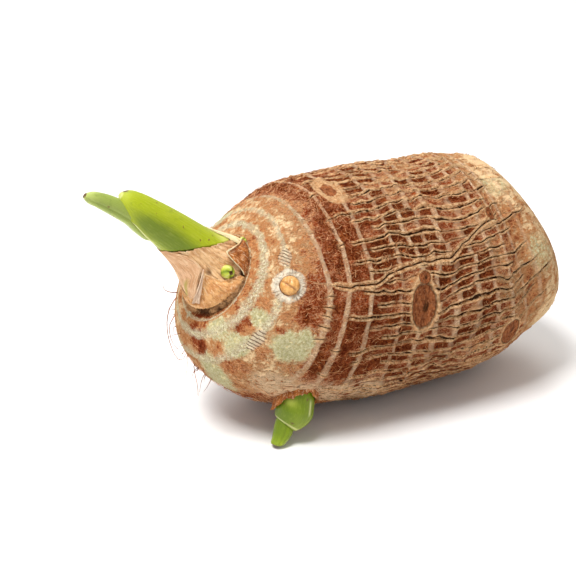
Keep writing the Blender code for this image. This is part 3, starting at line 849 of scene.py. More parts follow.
def closed_seat(points, rows, angle, relief):
    """The corm's points with those before its start laid flat, as the seat of the crown shoot."""
    middle, toward, above, ahead = crown_axes()
    spoke = toward * np.cos(angle)[:, None] + above * np.sin(angle)[:, None]
    inward = np.minimum(rows, 0.0)
    rim = GIRTH[0] - SEAT_RADIUS
    seat_share = np.clip(-inward / rim, 0.0, 1.0)
    disc = middle + above * (SEAT_RISE * seat_share)[:, None] + spoke * (GIRTH[0] + inward)[:, None]
    sunk = SEAT_DEPTH * ramp(rim - 0.2, rim + 0.4, -inward)
    disc = disc + ahead * (sunk - 0.5 * relief * (rows > -4.0))[:, None]
    return np.where((rows < 0.0)[:, None], disc, points)


def make_corm(material):
    """The corm's skin, its rings, cracks, scars and halo both as relief and as fields for the paint."""
    mesh = spun_mesh("corm_skin", CORM_ROWS, CORM_COLUMNS)
    row, right, up = read_points(mesh).T
    rows = corm_profile(CORM_ROWS)[np.round(row).astype(int)]
    angle = np.arctan2(up, right)
    outer = np.maximum(rows, 0.0)

    ease = ramp(0.0, 14.0, rows) * fade(150.0, 168.0, rows)
    spot = np.stack([outer / 40.0, 1.4 * np.cos(angle), 1.4 * np.sin(angle)], 1)
    along = outer + ease * RING_WANDER * 2.0 * lumps(spot)
    turn = angle + math.radians(TURN_WANDER) * ease * 2.0 * lumps(spot * 1.7 + UP * 9.0)
    plain = corm_point(along, turn)
    small = 0.6 * grain(plain, 3.2, 5.0)
    middling = 0.6 * grain(plain, 8.0, 2.0)

    lane_mm = math.tau * smooth(GIRTH_AT, GIRTH, outer / CORM_LENGTH) / LANES
    wave = 0.6 * grain(plain, 22.0, 7.0) + 0.26 * grain(plain, 9.0, 3.0)
    wave = wave + 0.22 * grain(plain * (1.0, 0.4, 0.4), 3.6, 3.0)
    lane = (turn / math.tau + 0.5) * LANES + wave
    body = ramp(44.0, 62.0, rows) * fade(112.0, 135.0, rows)
    column = np.mod(np.floor(lane), LANES)
    stagger = grain(np.stack([column * 7.7, along / 24.0, np.full_like(along, 5.0)], 1), 1.0)

    shifted = rows + 0.6 * small + 1.2 * middling * ramp(0.0, 20.0, rows) + 2.2 * body * stagger
    step, ring_mm = ring_steps(shifted, angle)
    ring_off = np.abs(step - np.round(step)) * ring_mm
    is_ring = (np.round(step) >= 1) * fade(146.0, 156.0, rows)
    is_ring = is_ring * (1.0 - 0.9 * ramp(12.0, 16.0, rows) * hump(np.degrees(angle) + 52.0, 22.0))
    spot = np.stack([np.round(step) * 3.3, 3.0 * np.cos(angle), 3.0 * np.sin(angle)], 1)
    faint = 0.7 + 0.5 * grain(spot, 1.0)
    faint = np.where(rows > 60.0, np.clip(faint + 0.1, 0.3, 1.0), np.clip(faint + 0.3, 0.7, 1.0))

    crack, crack_mm = furrows(along, lane, lane_mm, step, ring_off)
    split, ends = long_crack(along, turn, small + 1.6 * middling)
    scar, scar_relief = scar_marks(along, turn)
    scar_reach = np.hypot(scar[:, 0], scar[:, 1])
    crack = crack * ramp(1.0, 2.6, np.abs(split))
    crack = crack * ramp(1.0, 1.35, scar_reach)

    bud_foot, bud_out = spot_on_corm(BUD_ALONG, BUD_ANGLE)
    bud_side = unit(np.cross(bud_out, UP))
    offset = plain - bud_foot
    bud = np.stack([offset @ bud_side, offset @ np.cross(bud_side, bud_out), 0.0 * along], 1)
    bud_mm = np.linalg.norm(offset, axis=1)

    brown = patches(along, turn, BROWN_PATCHES)
    green = patches(along, turn, GREEN_PATCHES) * (rows > -1.0)
    green = green * (1.0 - 0.9 * brown) * (1.0 - 0.5 * ramp(110.0, 130.0, rows))
    red = redness(rows, along, turn, plain, brown)
    degrees = np.degrees(turn)
    torn = hump(degrees + 45.0, 14.0) * ramp(8.0, 18.0, along) * fade(50.0, 95.0, along)
    above_bud = hump(degrees - 40.5, 8.0) * hump(along - 6.6, 2.0)
    strip = hump(degrees + 22.5, 11.0) * hump(along - 7.1, 1.7)
    ladder = ramp(0.3, 0.6, above_bud) + ramp(0.3, 0.6, strip)

    relief = crack * (LIP_HEIGHT * hump(crack_mm - 0.95, 0.55) - CRACK_DEPTH * hump(crack_mm, 0.42))
    relief += ends * (0.7 * hump(np.abs(split) - 1.1, 0.6) - 0.8 * hump(split, 0.45))
    relief += RING_HEIGHT * is_ring * faint * hump(ring_off, 1.5)
    relief -= (0.15 + 0.3 * body) * np.clip(red, 0.0, 1.0) * ramp(1.0, 2.2, ring_off)
    relief += (0.22 * ramp(30.0, 60.0, rows) + 0.35 * torn) * grain(plain * (0.3, 1.0, 1.0), 1.5, 9.0)
    relief += scar_relief
    relief += 0.9 * fade(0.5, 1.4, bud_mm / HALO_RADIUS) - 0.5 * hump(bud_mm - 4.7, 0.8)
    relief += LUMP_HEIGHT * ease * lumps(plain / LUMP_SIZE) + 0.3 * ease * middling
    relief += 0.3 * small + 0.2 * grain(plain * (0.6, 1.0, 1.0), 1.5, 6.0) * np.clip(red + 0.2, 0.0, 1.0)
    closing = fade(166.0, 169.9, rows)

    points = closed_seat(corm_point(along, turn, relief * closing), rows, angle, relief)
    points[:, 2] = np.maximum(points[:, 2], FLOOR_GAP)
    write_points(mesh, points)

    seam_safe_uv(mesh, "bark", lane, step, LANES)
    for name, values in (
        ("lane_mm", lane_mm),
        ("ring_mm", ring_mm),
        ("ring", is_ring * faint),
        ("crack", crack),
        ("split", split),
        ("red", red),
        ("green", green),
        ("body", body),
        ("torn", torn),
        ("shag", ramp(-4.0, 20.0, rows) * (1.0 - 0.7 * ramp(122.0, 145.0, rows))),
        ("near_crown", fade(8.0, 26.0, rows)),
        ("ladder", np.clip(ladder, 0.0, 1.0)),
        ("ladder_mm", around_mm(outer, turn, 0.0)),
        # seat: where painted shade falls on the sunk floor under the crown husk
        ("seat", ramp(3.2, 4.4, -rows)),
        ("scar_reach", np.minimum(scar_reach, FAR_OFF)),
        ("bud_mm", bud_mm),
    ):
        add_field(mesh, name, values)
    add_vector_field(mesh, "scar", scar)
    add_vector_field(mesh, "bud", bud)
    return dress(finished("corm_skin", mesh), material, "bark", "corm")


def crown_axes():
    """The crown end's middle, and its directions toward -Y, up and along to the tail."""
    return tuple(value[0] for value in section(np.zeros(1)))


def shoot_point(out, angle, inset=0.0):
    """Points on the crown shoot's outer form, out from the crown end by so much."""
    middle, toward, above, ahead = crown_axes()
    half_height = np.maximum(smooth(SHOOT_AT, SHOOT_HALF_HEIGHT, out) - inset, 0.3)
    half_width = np.maximum(smooth(SHOOT_AT, SHOOT_HALF_WIDTH, out) - inset, 0.3)
    rise = smooth(SHOOT_AT, SHOOT_RISE, out) + half_height * np.sin(angle)
    side = half_width * np.cos(angle)
    return middle - out[..., None] * ahead + rise[..., None] * above + side[..., None] * toward


def husk_edge(angle):
    """How far out the husk's edge lies at each angle, least on top and most below."""
    lower = np.sqrt((1.0 - np.sin(angle)) / 2.0)
    return HUSK_SHORT_SIDE + (HUSK_LONG_SIDE - HUSK_SHORT_SIDE) * lower


def arch(share):
    """A half wave, 0 at both ends and 1 halfway."""
    return np.sin(share * math.pi)


def waves(angle, *terms):
    """A sum of waves around an axis, each given by its count, height and phase."""
    return sum(height * np.sin(count * angle + phase) for count, height, phase in terms)


def make_husk(material):
    """The dried leaf bases: a fibrous, folded stump with a ragged lip around the sheath."""
    wall_share = 0.86

    def place(share, angle):
        ragged = waves(angle, (9, 0.3, 0.4), (23, 0.2, 1.0), (47, 0.18, 2.0))
        edge = husk_edge(angle) + ragged
        wall = np.clip(share / wall_share, 0.0, 1.0)
        inside = np.clip((share - wall_share) / (1.0 - wall_share), 0.0, 1.0)
        folds = waves(angle + 0.25 * wall, (7, 0.35, 0.2), (15, 0.26, 1.1), (31, 0.16, 0.5), (59, 0.1, 2.2))
        folds = folds * ramp(0.0, 0.2, wall) * (1.0 - 0.8 * ramp(0.8, 1.0, wall))
        inset = folds + 0.5 * fade(0.3, 0.9, wall) - 0.25 * ramp(0.9, 1.0, wall)
        inset = inset + 1.5 * ramp(0.0, 0.5, inside)
        return shoot_point(HUSK_BASE + (edge - HUSK_BASE) * wall - 3.0 * inside, angle, inset)

    def fields(share, angle):
        degrees = np.degrees(angle)
        out = husk_edge(angle) * share / wall_share
        rim = fade(1.0, 4.0, out)
        recess = 0.75 * hump(out - 14.0, 2.6) * hump(degrees + 12.0, 9.0)
        return {
            "shade": np.maximum(np.maximum(rim, recess), ramp(0.9, 0.96, share)),
            "fresh": 0.8 * hump(degrees + 86.0, 5.0) * hump(out - 13.0, 4.0),
            "pale": 0.8 * ramp(80.0, 95.0, degrees) * ramp(3.0, 5.0, out),
        }

    piece = turned("crown_husk_wall", 70, 260, place, fields)
    return dress(piece, material, "dry_husk", "crown_husk")


def make_husk_cup(material):
    """The broken stub of an older leaf, a torn shell that stands off the husk's front."""
    def place(across, along):
        degrees = -128.0 + 142.0 * across
        low = smooth((-128.0, -99.0, -68.0, -44.0, -23.0, -6.0, 14.0),
                     (4.2, 3.8, 3.0, 2.0, 1.2, 0.4, -0.4), degrees)
        high = smooth((-128.0, -80.0, -60.0, -40.0, -21.0, -10.0, -3.0, 6.0, 14.0),
                      (9.0, 8.0, 8.5, 12.5, 15.0, 9.6, 7.0, 4.2, 2.4), degrees)
        torn = waves(across * math.tau, (19, 0.3, 0.0), (43, 0.25, 1.0))
        out = low + torn * (1.0 - along) + (high + torn - low) * along
        ribs = waves(across * math.tau, (61, 0.1, 0.0), (97, 0.08, 1.0)) * arch(along)
        stand = 0.9 + 1.7 * arch(np.clip(along * 1.05 + 0.16, 0.0, 1.0)) * arch(across) ** 0.4
        return shoot_point(out, np.radians(degrees), -stand - ribs)

    def fields(across, along):
        return {"shade": 0.7 * fade(0.02, 0.12, along) + 0.3 * hump(across, 0.12),
                "pale": 0.5 * ramp(0.85, 0.97, along)}

    piece = sheet("husk_cup", 190, 30, place, 0.45, fields)
    return dress(piece, material, "dry_husk")


def make_front_panel(material):
    """The front leaf base: a long triangular panel that laps over the wall, with a free right edge."""
    left = -142.0

    def place(across, along):
        out = 8.0 + 25.0 * along
        right = smooth((8.0, 8.6, 14.2, 16.1, 17.3, 22.0, 28.0, 33.0),
                       (-70.0, -66.0, -41.0, -28.0, -18.0, -20.0, -32.0, -62.0), out)
        angle = np.radians(left + (right - left) * across)
        lift = 0.15 + 0.9 * ramp(0.3, 1.0, across) * fade(0.75, 1.0, along)
        ribs = waves(across * math.tau, (15, 0.06, 0.0), (34, 0.05, 1.0))
        return shoot_point(out, angle, -lift - ribs)

    def fields(across, along):
        return {"fresh": 0.9 * hump(across - 0.66, 0.06) * fade(0.25, 0.4, along),
                "pale": 0.45 * ramp(0.93, 0.99, across)}

    piece = sheet("front_panel", 90, 60, place, 0.35, fields)
    return dress(piece, material, "dry_husk")


def make_flap(material):
    """A pale torn flap that stands up from the cup to a thin tip."""
    def place(across, along):
        out = 6.5 + 11.0 * along
        centre = -70.0 + 53.0 * along ** 1.15
        half = 8.0 * (1.0 - along) ** 0.8 + 0.8
        angle = np.radians(centre + half * (2.0 * across - 1.0))
        return shoot_point(out, angle, -(1.7 + 0.6 * along + 0.7 * np.abs(2.0 * across - 1.0)))

    def fields(across, along):
        return {"pale": 0.2}

    return dress(sheet("pale_flap", 14, 30, place, 0.4, fields), material, "dry_husk", "husk_flap")


def make_scale(material):
    """A brown dried scale at the shoot's upper right, its free edge curled out and pale."""
    def place(across, along):
        degrees = 16.0 + 60.0 * across
        high = smooth((16.0, 21.0, 27.0, 33.0, 45.0, 58.0, 66.0, 76.0),
                      (1.6, 4.0, 9.0, 11.8, 9.4, 6.0, 4.4, 2.6), degrees)
        out = (high + 0.6) * along - 0.6
        curl = 0.9 * ramp(0.8, 1.0, along)
        ribs = waves(across * math.tau, (23, 0.07, 0.0), (47, 0.06, 1.0))
        stand = 0.9 + 1.2 * arch(along * 0.8) + curl + ribs * arch(along)
        return shoot_point(out, np.radians(degrees), -stand)

    def fields(across, along):
        shade = 0.7 * fade(0.02, 0.14, along) + 0.3 * hump(along - 0.82, 0.08)
        return {"shade": shade, "pale": 1.1 * ramp(0.9, 0.97, along)}

    return dress(sheet("dried_scale", 90, 34, place, 0.4, fields), material, "dry_husk", "husk_scale")


def make_pale_base(material):
    """The pale, torn foot of the green sheath along the top."""
    def place(across, along):
        degrees = 58.0 + 86.0 * across
        reach = 11.0 * hump(degrees - 92.0, 20.0) + 2.0
        torn = waves(across * math.tau, (7, 0.5, 0.0), (13, 0.4, 1.0))
        out = (reach + torn + 0.5) * along - 0.5
        stand = 0.35 + 0.9 * arch(along) * (1.0 - 0.5 * along)
        return shoot_point(out, np.radians(degrees), -stand)

    def fields(across, along):
        return {"shade": 0.4 * fade(0.0, 0.1, along),
                "fresh": 0.35 * ramp(0.5, 0.9, along),
                "pale": 0.8}

    return dress(sheet("pale_base", 70, 26, place, 0.35, fields), material, "dry_husk")


def make_lip(material):
    """The pale rolled lip where the sheath's foot ends, round to the scale's free edge."""
    out = np.array((17.0, 12.0, 8.0, 5.0, 3.6, 3.4, 4.2, 6.0, 8.9, 11.4))
    degrees = np.array((101.0, 98.0, 94.0, 88.0, 81.0, 73.0, 66.0, 57.0, 45.0, 34.5))
    stand = np.array((0.1, 0.5, 0.8, 1.0, 1.3, 1.9, 2.6, 2.9, 2.9, 2.4))
    dress(fibres("sheath_lip", [shoot_point(out, np.radians(degrees), -stand)], 0.62), material, "dry_husk")


def make_sheath(material):
    """The green sheath: its pale slanting edge laps over the inner leaf along the lower side."""
    last = 63.6

    def inner(share, out, degrees):
        edge = smooth((30.0, 35.0, 41.4, 46.6, 50.8, 54.8, 58.6, 61.7, 63.9),
                      (-72.0, -76.0, -68.5, -64.5, -63.0, -72.0, -79.0, -70.0, -43.0), out)
        return fade(-1.5, 1.5, degrees - edge) * ramp(-170.0, -150.0, degrees), degrees - edge

    def reach_out(share, angle):
        start = husk_edge(angle) - 2.0
        return start + (last - start) * (1.0 - (1.0 - share) ** 1.25)

    def place(share, angle):
        out = reach_out(share, angle)
        veins = waves(angle, (34, 0.035, 0.0), (57, 0.025, 1.0))
        keel = 0.25 * hump(np.degrees(angle) - 92.0, 18.0) * share
        foot = 1.5 * fade(0.8, 2.6, out - husk_edge(angle) + 2.0)
        under, _ = inner(share, out, np.degrees(angle))
        return shoot_point(out, angle, foot + veins - keel + 0.55 * under * ramp(0.05, 0.2, share))

    def fields(share, angle):
        degrees = np.degrees(angle)
        out = reach_out(share, angle)
        under, past = inner(share, out, degrees)
        mouth = ramp(0.975, 0.995, share)
        foot = fade(8.0, 17.0, out + 1.5 * np.sin(angle * 9.0)) * hump(degrees - 88.0, 45.0)
        top_spot = hump(out - 62.5, 1.2) * hump(degrees - 88.0, 14.0)
        return {
            "deep": np.clip(0.95 * hump(degrees + 22.0, 42.0) * fade(0.45, 0.9, share)
                            + 0.5 * hump(degrees - 75.0, 22.0) * ramp(0.8, 0.95, share)
                            + 0.5 * under, 0.0, 1.0),
            # The foot term in young is a painted highlight, paler yellow on top toward the foot
            "young": np.clip(0.8 * foot + 0.2 * ramp(0.8, 1.0, share) + 0.3 * under, 0.0, 1.0),
            "margin": np.clip(hump(past - 2.0, 4.0) * ramp(0.1, 0.25, share) + 0.4 * mouth
                              + 0.6 * foot * fade(3.0, 8.0, out), 0.0, 1.0),
            "brown": np.clip(1.2 * top_spot, 0.0, 1.0),
        }

    piece = turned("sheath_leaf", 120, 200, place, fields)
    return dress(piece, material, "green_sheath", "crown_sheath")


def make_spear(material):
    """The young leaf, rolled to a spear, with a fold along its side."""
    middle, toward, above, ahead = crown_axes()

    def place(share, angle):
        out = SPEAR_AT[0] + (SPEAR_AT[-1] - SPEAR_AT[0]) * (1.0 - (1.0 - share) ** 1.15)
        degrees = np.degrees(angle)
        fold = 1.0 - 0.16 * hump(degrees + 24.0, 9.0) - 0.1 * hump(degrees - 155.0, 12.0)
        half_height = smooth(SPEAR_AT, SPEAR_HALF_HEIGHT, out) * fold
        rise = smooth(SPEAR_AT, SPEAR_RISE, out) + half_height * np.sin(angle)
        side = smooth(SPEAR_AT, SPEAR_HALF_WIDTH, out) * fold * np.cos(angle)
        return middle - out[:, None] * ahead + rise[:, None] * above + side[:, None] * toward

    def fields(share, angle):
        degrees = np.degrees(angle)
        return {
            "deep": 0.3 * hump(degrees + 20.0, 40.0),
            "young": 0.3 + 0.4 * ramp(0.75, 1.0, share),
            "margin": 0.8 * hump(degrees + 80.0, 16.0),
            "brown": 0.7 * ramp(0.985, 0.998, share),
        }

    piece = turned("spear_leaf", 70, 72, place, fields)
    return dress(piece, material, "young_leaf", "crown_spear")


def side_axes():
    """The side shoot's three directions: out along it, across it and to its front."""
    out = unit(SIDE_TIP - SIDE_ROOT)
    across = unit(SIDE_ACROSS - out * (SIDE_ACROSS @ out))
    return out, across, np.cross(out, across)


def side_place(out_by, across_by, front_by):
    """Points by their distances along the side shoot's three axes."""
    steps = np.stack(np.broadcast_arrays(out_by, across_by, front_by), -1)
    return SIDE_ROOT + steps @ np.array(side_axes())


def side_point(out_by, angle, radius):
    """Points around the side shoot's bent middle line."""
    lean = smooth(SIDE_LEAN_AT, SIDE_LEAN, out_by)
    return side_place(out_by, lean + radius * np.cos(angle), radius * np.sin(angle))


def make_side_sheath(material):
    """The side shoot's swollen green sheath with its slanted pale mouth."""
    def place(share, angle):
        station = SIDE_BULB_AT[0] + (SIDE_BULB_AT[-1] - SIDE_BULB_AT[0]) * share
        veins = waves(angle, (26, 0.05, 0.0), (43, 0.03, 1.0))
        radius = smooth(SIDE_BULB_AT, SIDE_BULB_RADIUS, station) + veins
        slant = SIDE_MOUTH_SLANT * ramp(3.0, 13.0, station) * (np.cos(angle) - 0.63)
        across_by = smooth(SIDE_LEAN_AT, SIDE_LEAN, station) + radius * np.cos(angle)
        return side_place(station + slant, across_by, radius * np.sin(angle))

    def fields(share, angle):
        degrees = np.degrees(angle)
        hood_edge = hump(degrees - 38.0, 4.0) * ramp(0.3, 0.42, share) * fade(0.6, 0.7, share)
        return {
            # Less deep and more young in one narrow spot halfway along, near 100 degrees, is a painted
            # highlight
            "deep": (0.55 + 0.4 * hump(degrees - 125.0, 40.0)
                     - 0.3 * hump(degrees - 100.0, 25.0) * hump(share - 0.45, 0.15)),
            "young": np.clip(0.35 * ramp(0.6, 1.0, share) * hump(degrees - 10.0, 50.0)
                             + 0.5 * hump(degrees - 105.0, 16.0) * hump(share - 0.45, 0.08), 0.0, 1.0),
            "margin": np.clip(hump(share - 0.965, 0.012) + 0.8 * hood_edge, 0.0, 1.0),
            "brown": 0.62 * hump(share - 0.9, 0.05) * hump(degrees - 75.0, 22.0),
        }

    piece = turned("side_sheath_leaf", 70, 120, place, fields)
    return dress(piece, material, "green_sheath", "side_sheath")


def make_side_spear(material):
    """The side shoot's blunt inner leaf, browned at its tip."""
    def place(share, angle):
        station = SIDE_SPEAR_AT[0] + (SIDE_SPEAR_AT[-1] - SIDE_SPEAR_AT[0]) * (1.0 - (1.0 - share) ** 1.4)
        fold = 1.0 - 0.1 * hump(np.degrees(angle) - 70.0, 10.0)
        radius = smooth(SIDE_SPEAR_AT, SIDE_SPEAR_RADIUS, station) * fold
        lean = smooth(SIDE_SPEAR_AT, SIDE_SPEAR_LEAN, station)
        bow = smooth(SIDE_SPEAR_AT, SIDE_SPEAR_BOW, station)
        return side_place(station, lean + radius * np.cos(angle), bow + radius * np.sin(angle))

    def fields(share, angle):
        return {
            "deep": 0.5 + 0.3 * hump(np.degrees(angle) - 120.0, 40.0) - 0.5 * ramp(0.5, 0.95, share),
            "margin": 0.6 * hump(np.degrees(angle) - 12.0, 14.0) * ramp(0.5, 0.8, share),
            "brown": 0.9 * ramp(0.9, 0.99, share + 0.06 * hump(np.degrees(angle) - 160.0, 50.0)),
        }

    piece = turned("side_spear_leaf", 50, 72, place, fields)
    return dress(piece, material, "young_leaf", "side_spear")


def skin_reach(angle, radius):
    """How far out along the side shoot's axis the corm's skin lies, at each angle around it."""
    reach = []
    centre_line = spine_middle(np.linspace(0.0, 1.0, 400))
    radii = girth_at(np.linspace(0.0, CORM_LENGTH, 400))
    steps = np.linspace(-12.0, 14.0, 260)
    for turn in angle:
        trail = side_point(steps, turn, radius)
        far = np.linalg.norm(trail[:, None] - centre_line[None], axis=2) - radii[None]
        outside = far.min(axis=1) > 0.0
        reach.append(steps[np.argmax(outside)] if outside.any() else steps[-1])
    return np.array(reach)


def make_side_collar(material):
    """The torn orange-brown husk around the side shoot's foot."""
    turns = np.linspace(-math.pi, math.pi, 73)
    reach = skin_reach(turns, SIDE_COLLAR_RADIUS)
    wall_share = 0.6

    def place(share, angle):
        skin = np.interp(angle, turns, reach)
        ragged = waves(angle, (5, 0.8, 0.0), (11, 0.5, 1.0), (19, 0.35, 0.4), (33, 0.25, 1.9))
        degrees = np.degrees(angle)
        top = skin + 2.4 + 1.6 * hump(degrees - 150.0, 40.0) - 0.8 * hump(degrees - 80.0, 40.0)
        top = top + 0.8 * ragged
        wall = np.clip(share / wall_share, 0.0, 1.0)
        back = np.clip((share - wall_share) / (1.0 - wall_share), 0.0, 1.0)
        out_by = skin - 3.0 + (top - skin + 3.0) * wall - 5.0 * back
        folds = waves(angle, (13, 0.22, 0.0), (29, 0.14, 1.0))
        radius = SIDE_COLLAR_RADIUS - 0.3 + 0.5 * wall + folds - 1.1 * ramp(0.0, 0.3, back)
        return side_point(out_by, angle, radius)

    def fields(share, angle):
        return {"shade": np.clip(ramp(0.64, 0.75, share) + 0.5 * fade(0.2, 0.45, share), 0.0, 1.0)}

    piece = turned("side_husk", 34, 150, place, fields)
    return dress(piece, material, "dry_husk", "side_collar")


def dome_lift(share):
    """How far up the dome's quarter circle a row is, in radians."""
    return np.clip((share - STALK_SHARE) / (1.0 - STALK_SHARE), 0.0, 1.0) * math.pi / 2.0


def dome(name, foot, out, radius, height, more, fields):
    """A low dome on a short sunk stalk; more(share, angle, level, reach) gives it its folds."""
    across = unit(np.cross(out, UP))
    front = np.cross(out, across)

    def place(share, angle):
        stalk = share < STALK_SHARE
        lift = dome_lift(share)
        level = np.where(stalk, -STALK * (1.0 - share / STALK_SHARE), height * np.sin(lift))
        reach = np.where(stalk, radius, radius * np.cos(lift)) + 0.02
        level, reach = more(share, angle, level, reach)
        spoke = across * np.cos(angle)[:, None] + front * np.sin(angle)[:, None]
        return foot + level[:, None] * out + reach[:, None] * spoke

    return turned(name, 30, 64, place, fields)


def make_side_bud(material):
    """The dormant bud: an amber dome of two scales that meet in a slanted fold."""
    foot, out = spot_on_corm(BUD_ALONG, BUD_ANGLE, 0.9)

    def more(share, angle, level, reach):
        x = reach * np.cos(angle)
        y = reach * np.sin(angle)
        fold = hump(x * 0.5 + y * 0.85 - 0.4, 0.45) * ramp(0.3, 0.5, share)
        return level - 0.5 * fold + 0.12 * np.sin(x * 3.1), reach

    def fields(share, angle):
        reach = BUD_RADIUS * np.cos(dome_lift(share))
        x = reach * np.cos(angle)
        y = reach * np.sin(angle)
        foot_shade = 0.6 * fade(STALK_SHARE, 0.42, share)
        return {"shade": np.clip(0.6 * hump(x * 0.5 + y * 0.85 - 0.4, 0.4) + foot_shade, 0.0, 1.0)}

    piece = dome("bud_dome", foot, out, BUD_RADIUS, BUD_HEIGHT, more, fields)
    return dress(piece, material, "dormant_bud", "side_bud")


def make_green_buds(material):
    """The small green bud on the husk's front and the tiny one at the shoot's upper right."""
    def petal(share, angle):
        return np.abs(np.sin(1.5 * angle + 1.2 * share))

    def fields(share, angle):
        petals = petal(share, angle)
        return {
            "deep": 0.9 * (1.0 - petals),
            "young": 0.7 * petals * (1.0 - share),
            "margin": 0.3 * hump(petals - 1.0, 0.1),
            "brown": 0.75 * ramp(0.72, 0.9, share),
        }

    def pointed(share, angle, level, reach):
        petals = petal(share, angle) * ramp(0.25, 0.6, share)
        return level * (0.8 + 0.3 * petals) - 0.5 * ramp(0.85, 1.0, share), reach * (1.0 + 0.1 * petals)

    for name, out_by, degrees, radius, height, stand, nodes in (
        ("husk_bud", 7.2, 9.0, 2.9, 2.5, 0.4, ("crown_bud",)),
        ("upper_nub", 1.0, 76.0, 1.8, 2.0, 0.9, ()),
    ):
        at = np.array([out_by])
        turn = np.array([math.radians(degrees)])
        foot = shoot_point(at, turn, -stand)[0]
        away = unit(foot - shoot_point(at, turn, 6.0)[0])
        piece = dome(name, foot, away, radius, height, pointed, fields)
        dress(piece, material, "green_sheath", *nodes)


def make_rim_fibres(material):
    """Brown fibres that fray out where the husk meets the crown."""
    strands = []
    for _ in range(RIM_FIBRES):
        degrees = CHANCE.normal(-35.0, 50.0) if CHANCE.random() < 0.75 else CHANCE.uniform(-180.0, 180.0)
        low = np.interp(degrees, (-128.0, -68.0, -23.0, 14.0, 60.0), (4.2, 3.0, 1.2, -0.2, -0.4))
        length = CHANCE.uniform(0.8, 2.4)
        turn = np.radians(degrees + CHANCE.uniform(-8.0, 8.0) * np.array((0.0, 0.5, 1.0)))
        out = low + CHANCE.uniform(-0.6, 0.8) - length * np.array((0.0, 0.35, CHANCE.uniform(0.2, 0.8)))
        stand = CHANCE.uniform(1.2, 2.8) + length * np.array((0.0, 0.5, CHANCE.uniform(0.3, 0.8)))
        strands.append(shoot_point(np.maximum(out, HUSK_BASE), turn, -stand))
    dress(fibres("rim_fibres", strands, 0.17), material, "dry_husk")


def scar_reach_at(along, turn):
    """How far each place is from the nearest scar, in scars' half sizes."""
    reach = np.full(len(along), FAR_OFF)
    for at, degrees, half_length, half_width, _ in SCARS:
        near = scar_steps(along, turn, at, degrees, half_length, half_width)
        reach = np.minimum(reach, np.hypot(*near))
    return reach


def make_bark_fibres(pale, dark):
    """Loose fibres that lie on the bark, pale ones and dark ones, most of them toward the crown."""
    for name, material, count, radius, first in (
        ("pale_fibres", pale, PALE_FIBRES, 0.1, 4.0),
        ("dark_fibres", dark, DARK_FIBRES, 0.12, 24.0),
    ):
        third = count // 3
        along = np.concatenate([CHANCE.uniform(first, 50.0, third), CHANCE.uniform(first, 112.0, third),
                                CHANCE.uniform(60.0, 160.0, count - 2 * third)])
        degrees = CHANCE.uniform(-180.0, 180.0, count)
        length = CHANCE.uniform(1.2, 4.0, count)
        slant = CHANCE.normal(0.3, 1.0, count)
        bow = CHANCE.uniform(-0.35, 0.35, count) * length
        columns = []
        for share, low, high in ((0.0, 0.0, 0.2), (0.5, 0.35, 0.8), (1.0, 0.1, 0.8)):
            sideways = length * share * np.sin(slant) + bow * arch(share)
            at = along + length * share * np.cos(slant)
            turn = np.radians(degrees) + sideways / np.maximum(girth_at(along), 20.0)
            columns.append(corm_point(at, turn, CHANCE.uniform(low, high, count)))
        strands = np.stack(columns, 1)
        off_scars = scar_reach_at(along + length / 2.0, np.radians(degrees)) > 1.25
        off_table = strands[:, :, 2].min(axis=1) > 1.0
        off_green = patches(along, np.radians(degrees), GREEN_PATCHES) < 0.3
        dress(fibres(name, strands[off_scars & off_table & off_green], radius), material, "bark")


def make_root_hairs(material):
    """The few long root hairs that hang and curl at the crown's lower left."""
    paths = (
        ((-87.0, 22.0, 55.0), (-91.0, 23.4, 58.0), (-94.0, 25.2, 57.5), (-96.4, 27.4, 59.0),
         (-96.0, 28.0, 61.0)),
        ((-88.0, 24.0, 58.0), (-94.7, 23.4, 53.5), (-97.5, 22.3, 47.5), (-98.8, 20.4, 42.0),
         (-99.0, 17.4, 36.0), (-97.8, 13.5, 29.8), (-95.1, 12.0, 29.8), (-93.1, 12.6, 34.0),
         (-90.5, 14.3, 37.0)),
        ((-90.0, 22.0, 50.0), (-96.5, 21.4, 47.0), (-98.5, 19.1, 40.0), (-97.5, 15.8, 35.0),
         (-94.7, 12.5, 32.0)),
        ((-88.0, 10.0, 32.0), (-92.0, 9.3, 29.0), (-92.5, 6.9, 23.6), (-92.4, 4.6, 19.0),
         (-93.3, 3.1, 15.0)),
        ((-89.0, 13.0, 36.0), (-93.7, 12.5, 33.0), (-94.3, 10.0, 27.3), (-96.2, 8.7, 22.4)),
    )
    dress(fibres("long_root_hairs", [np.array(path) for path in paths], 0.36), material, "bark")
    strands = []
    for _ in range(ROOT_HAIRS):
        along = np.array([CHANCE.uniform(2.0, 16.0)])
        start = corm_point(along, np.radians([CHANCE.uniform(-150.0, -85.0)]))[0]
        away = unit(start - np.array((-60.0, 0.0, 55.0)))
        length = CHANCE.uniform(2.0, 7.0)
        bend = start + away * length * 0.5 + CHANCE.uniform(-1.0, 1.0, 3)
        end = start + away * length + CHANCE.uniform(-2.5, 2.5, 3) - UP * length * 0.5
        strands.append(np.array((start, bend, end)))
    dress(fibres("root_hairs", strands, 0.22), material, "bark")


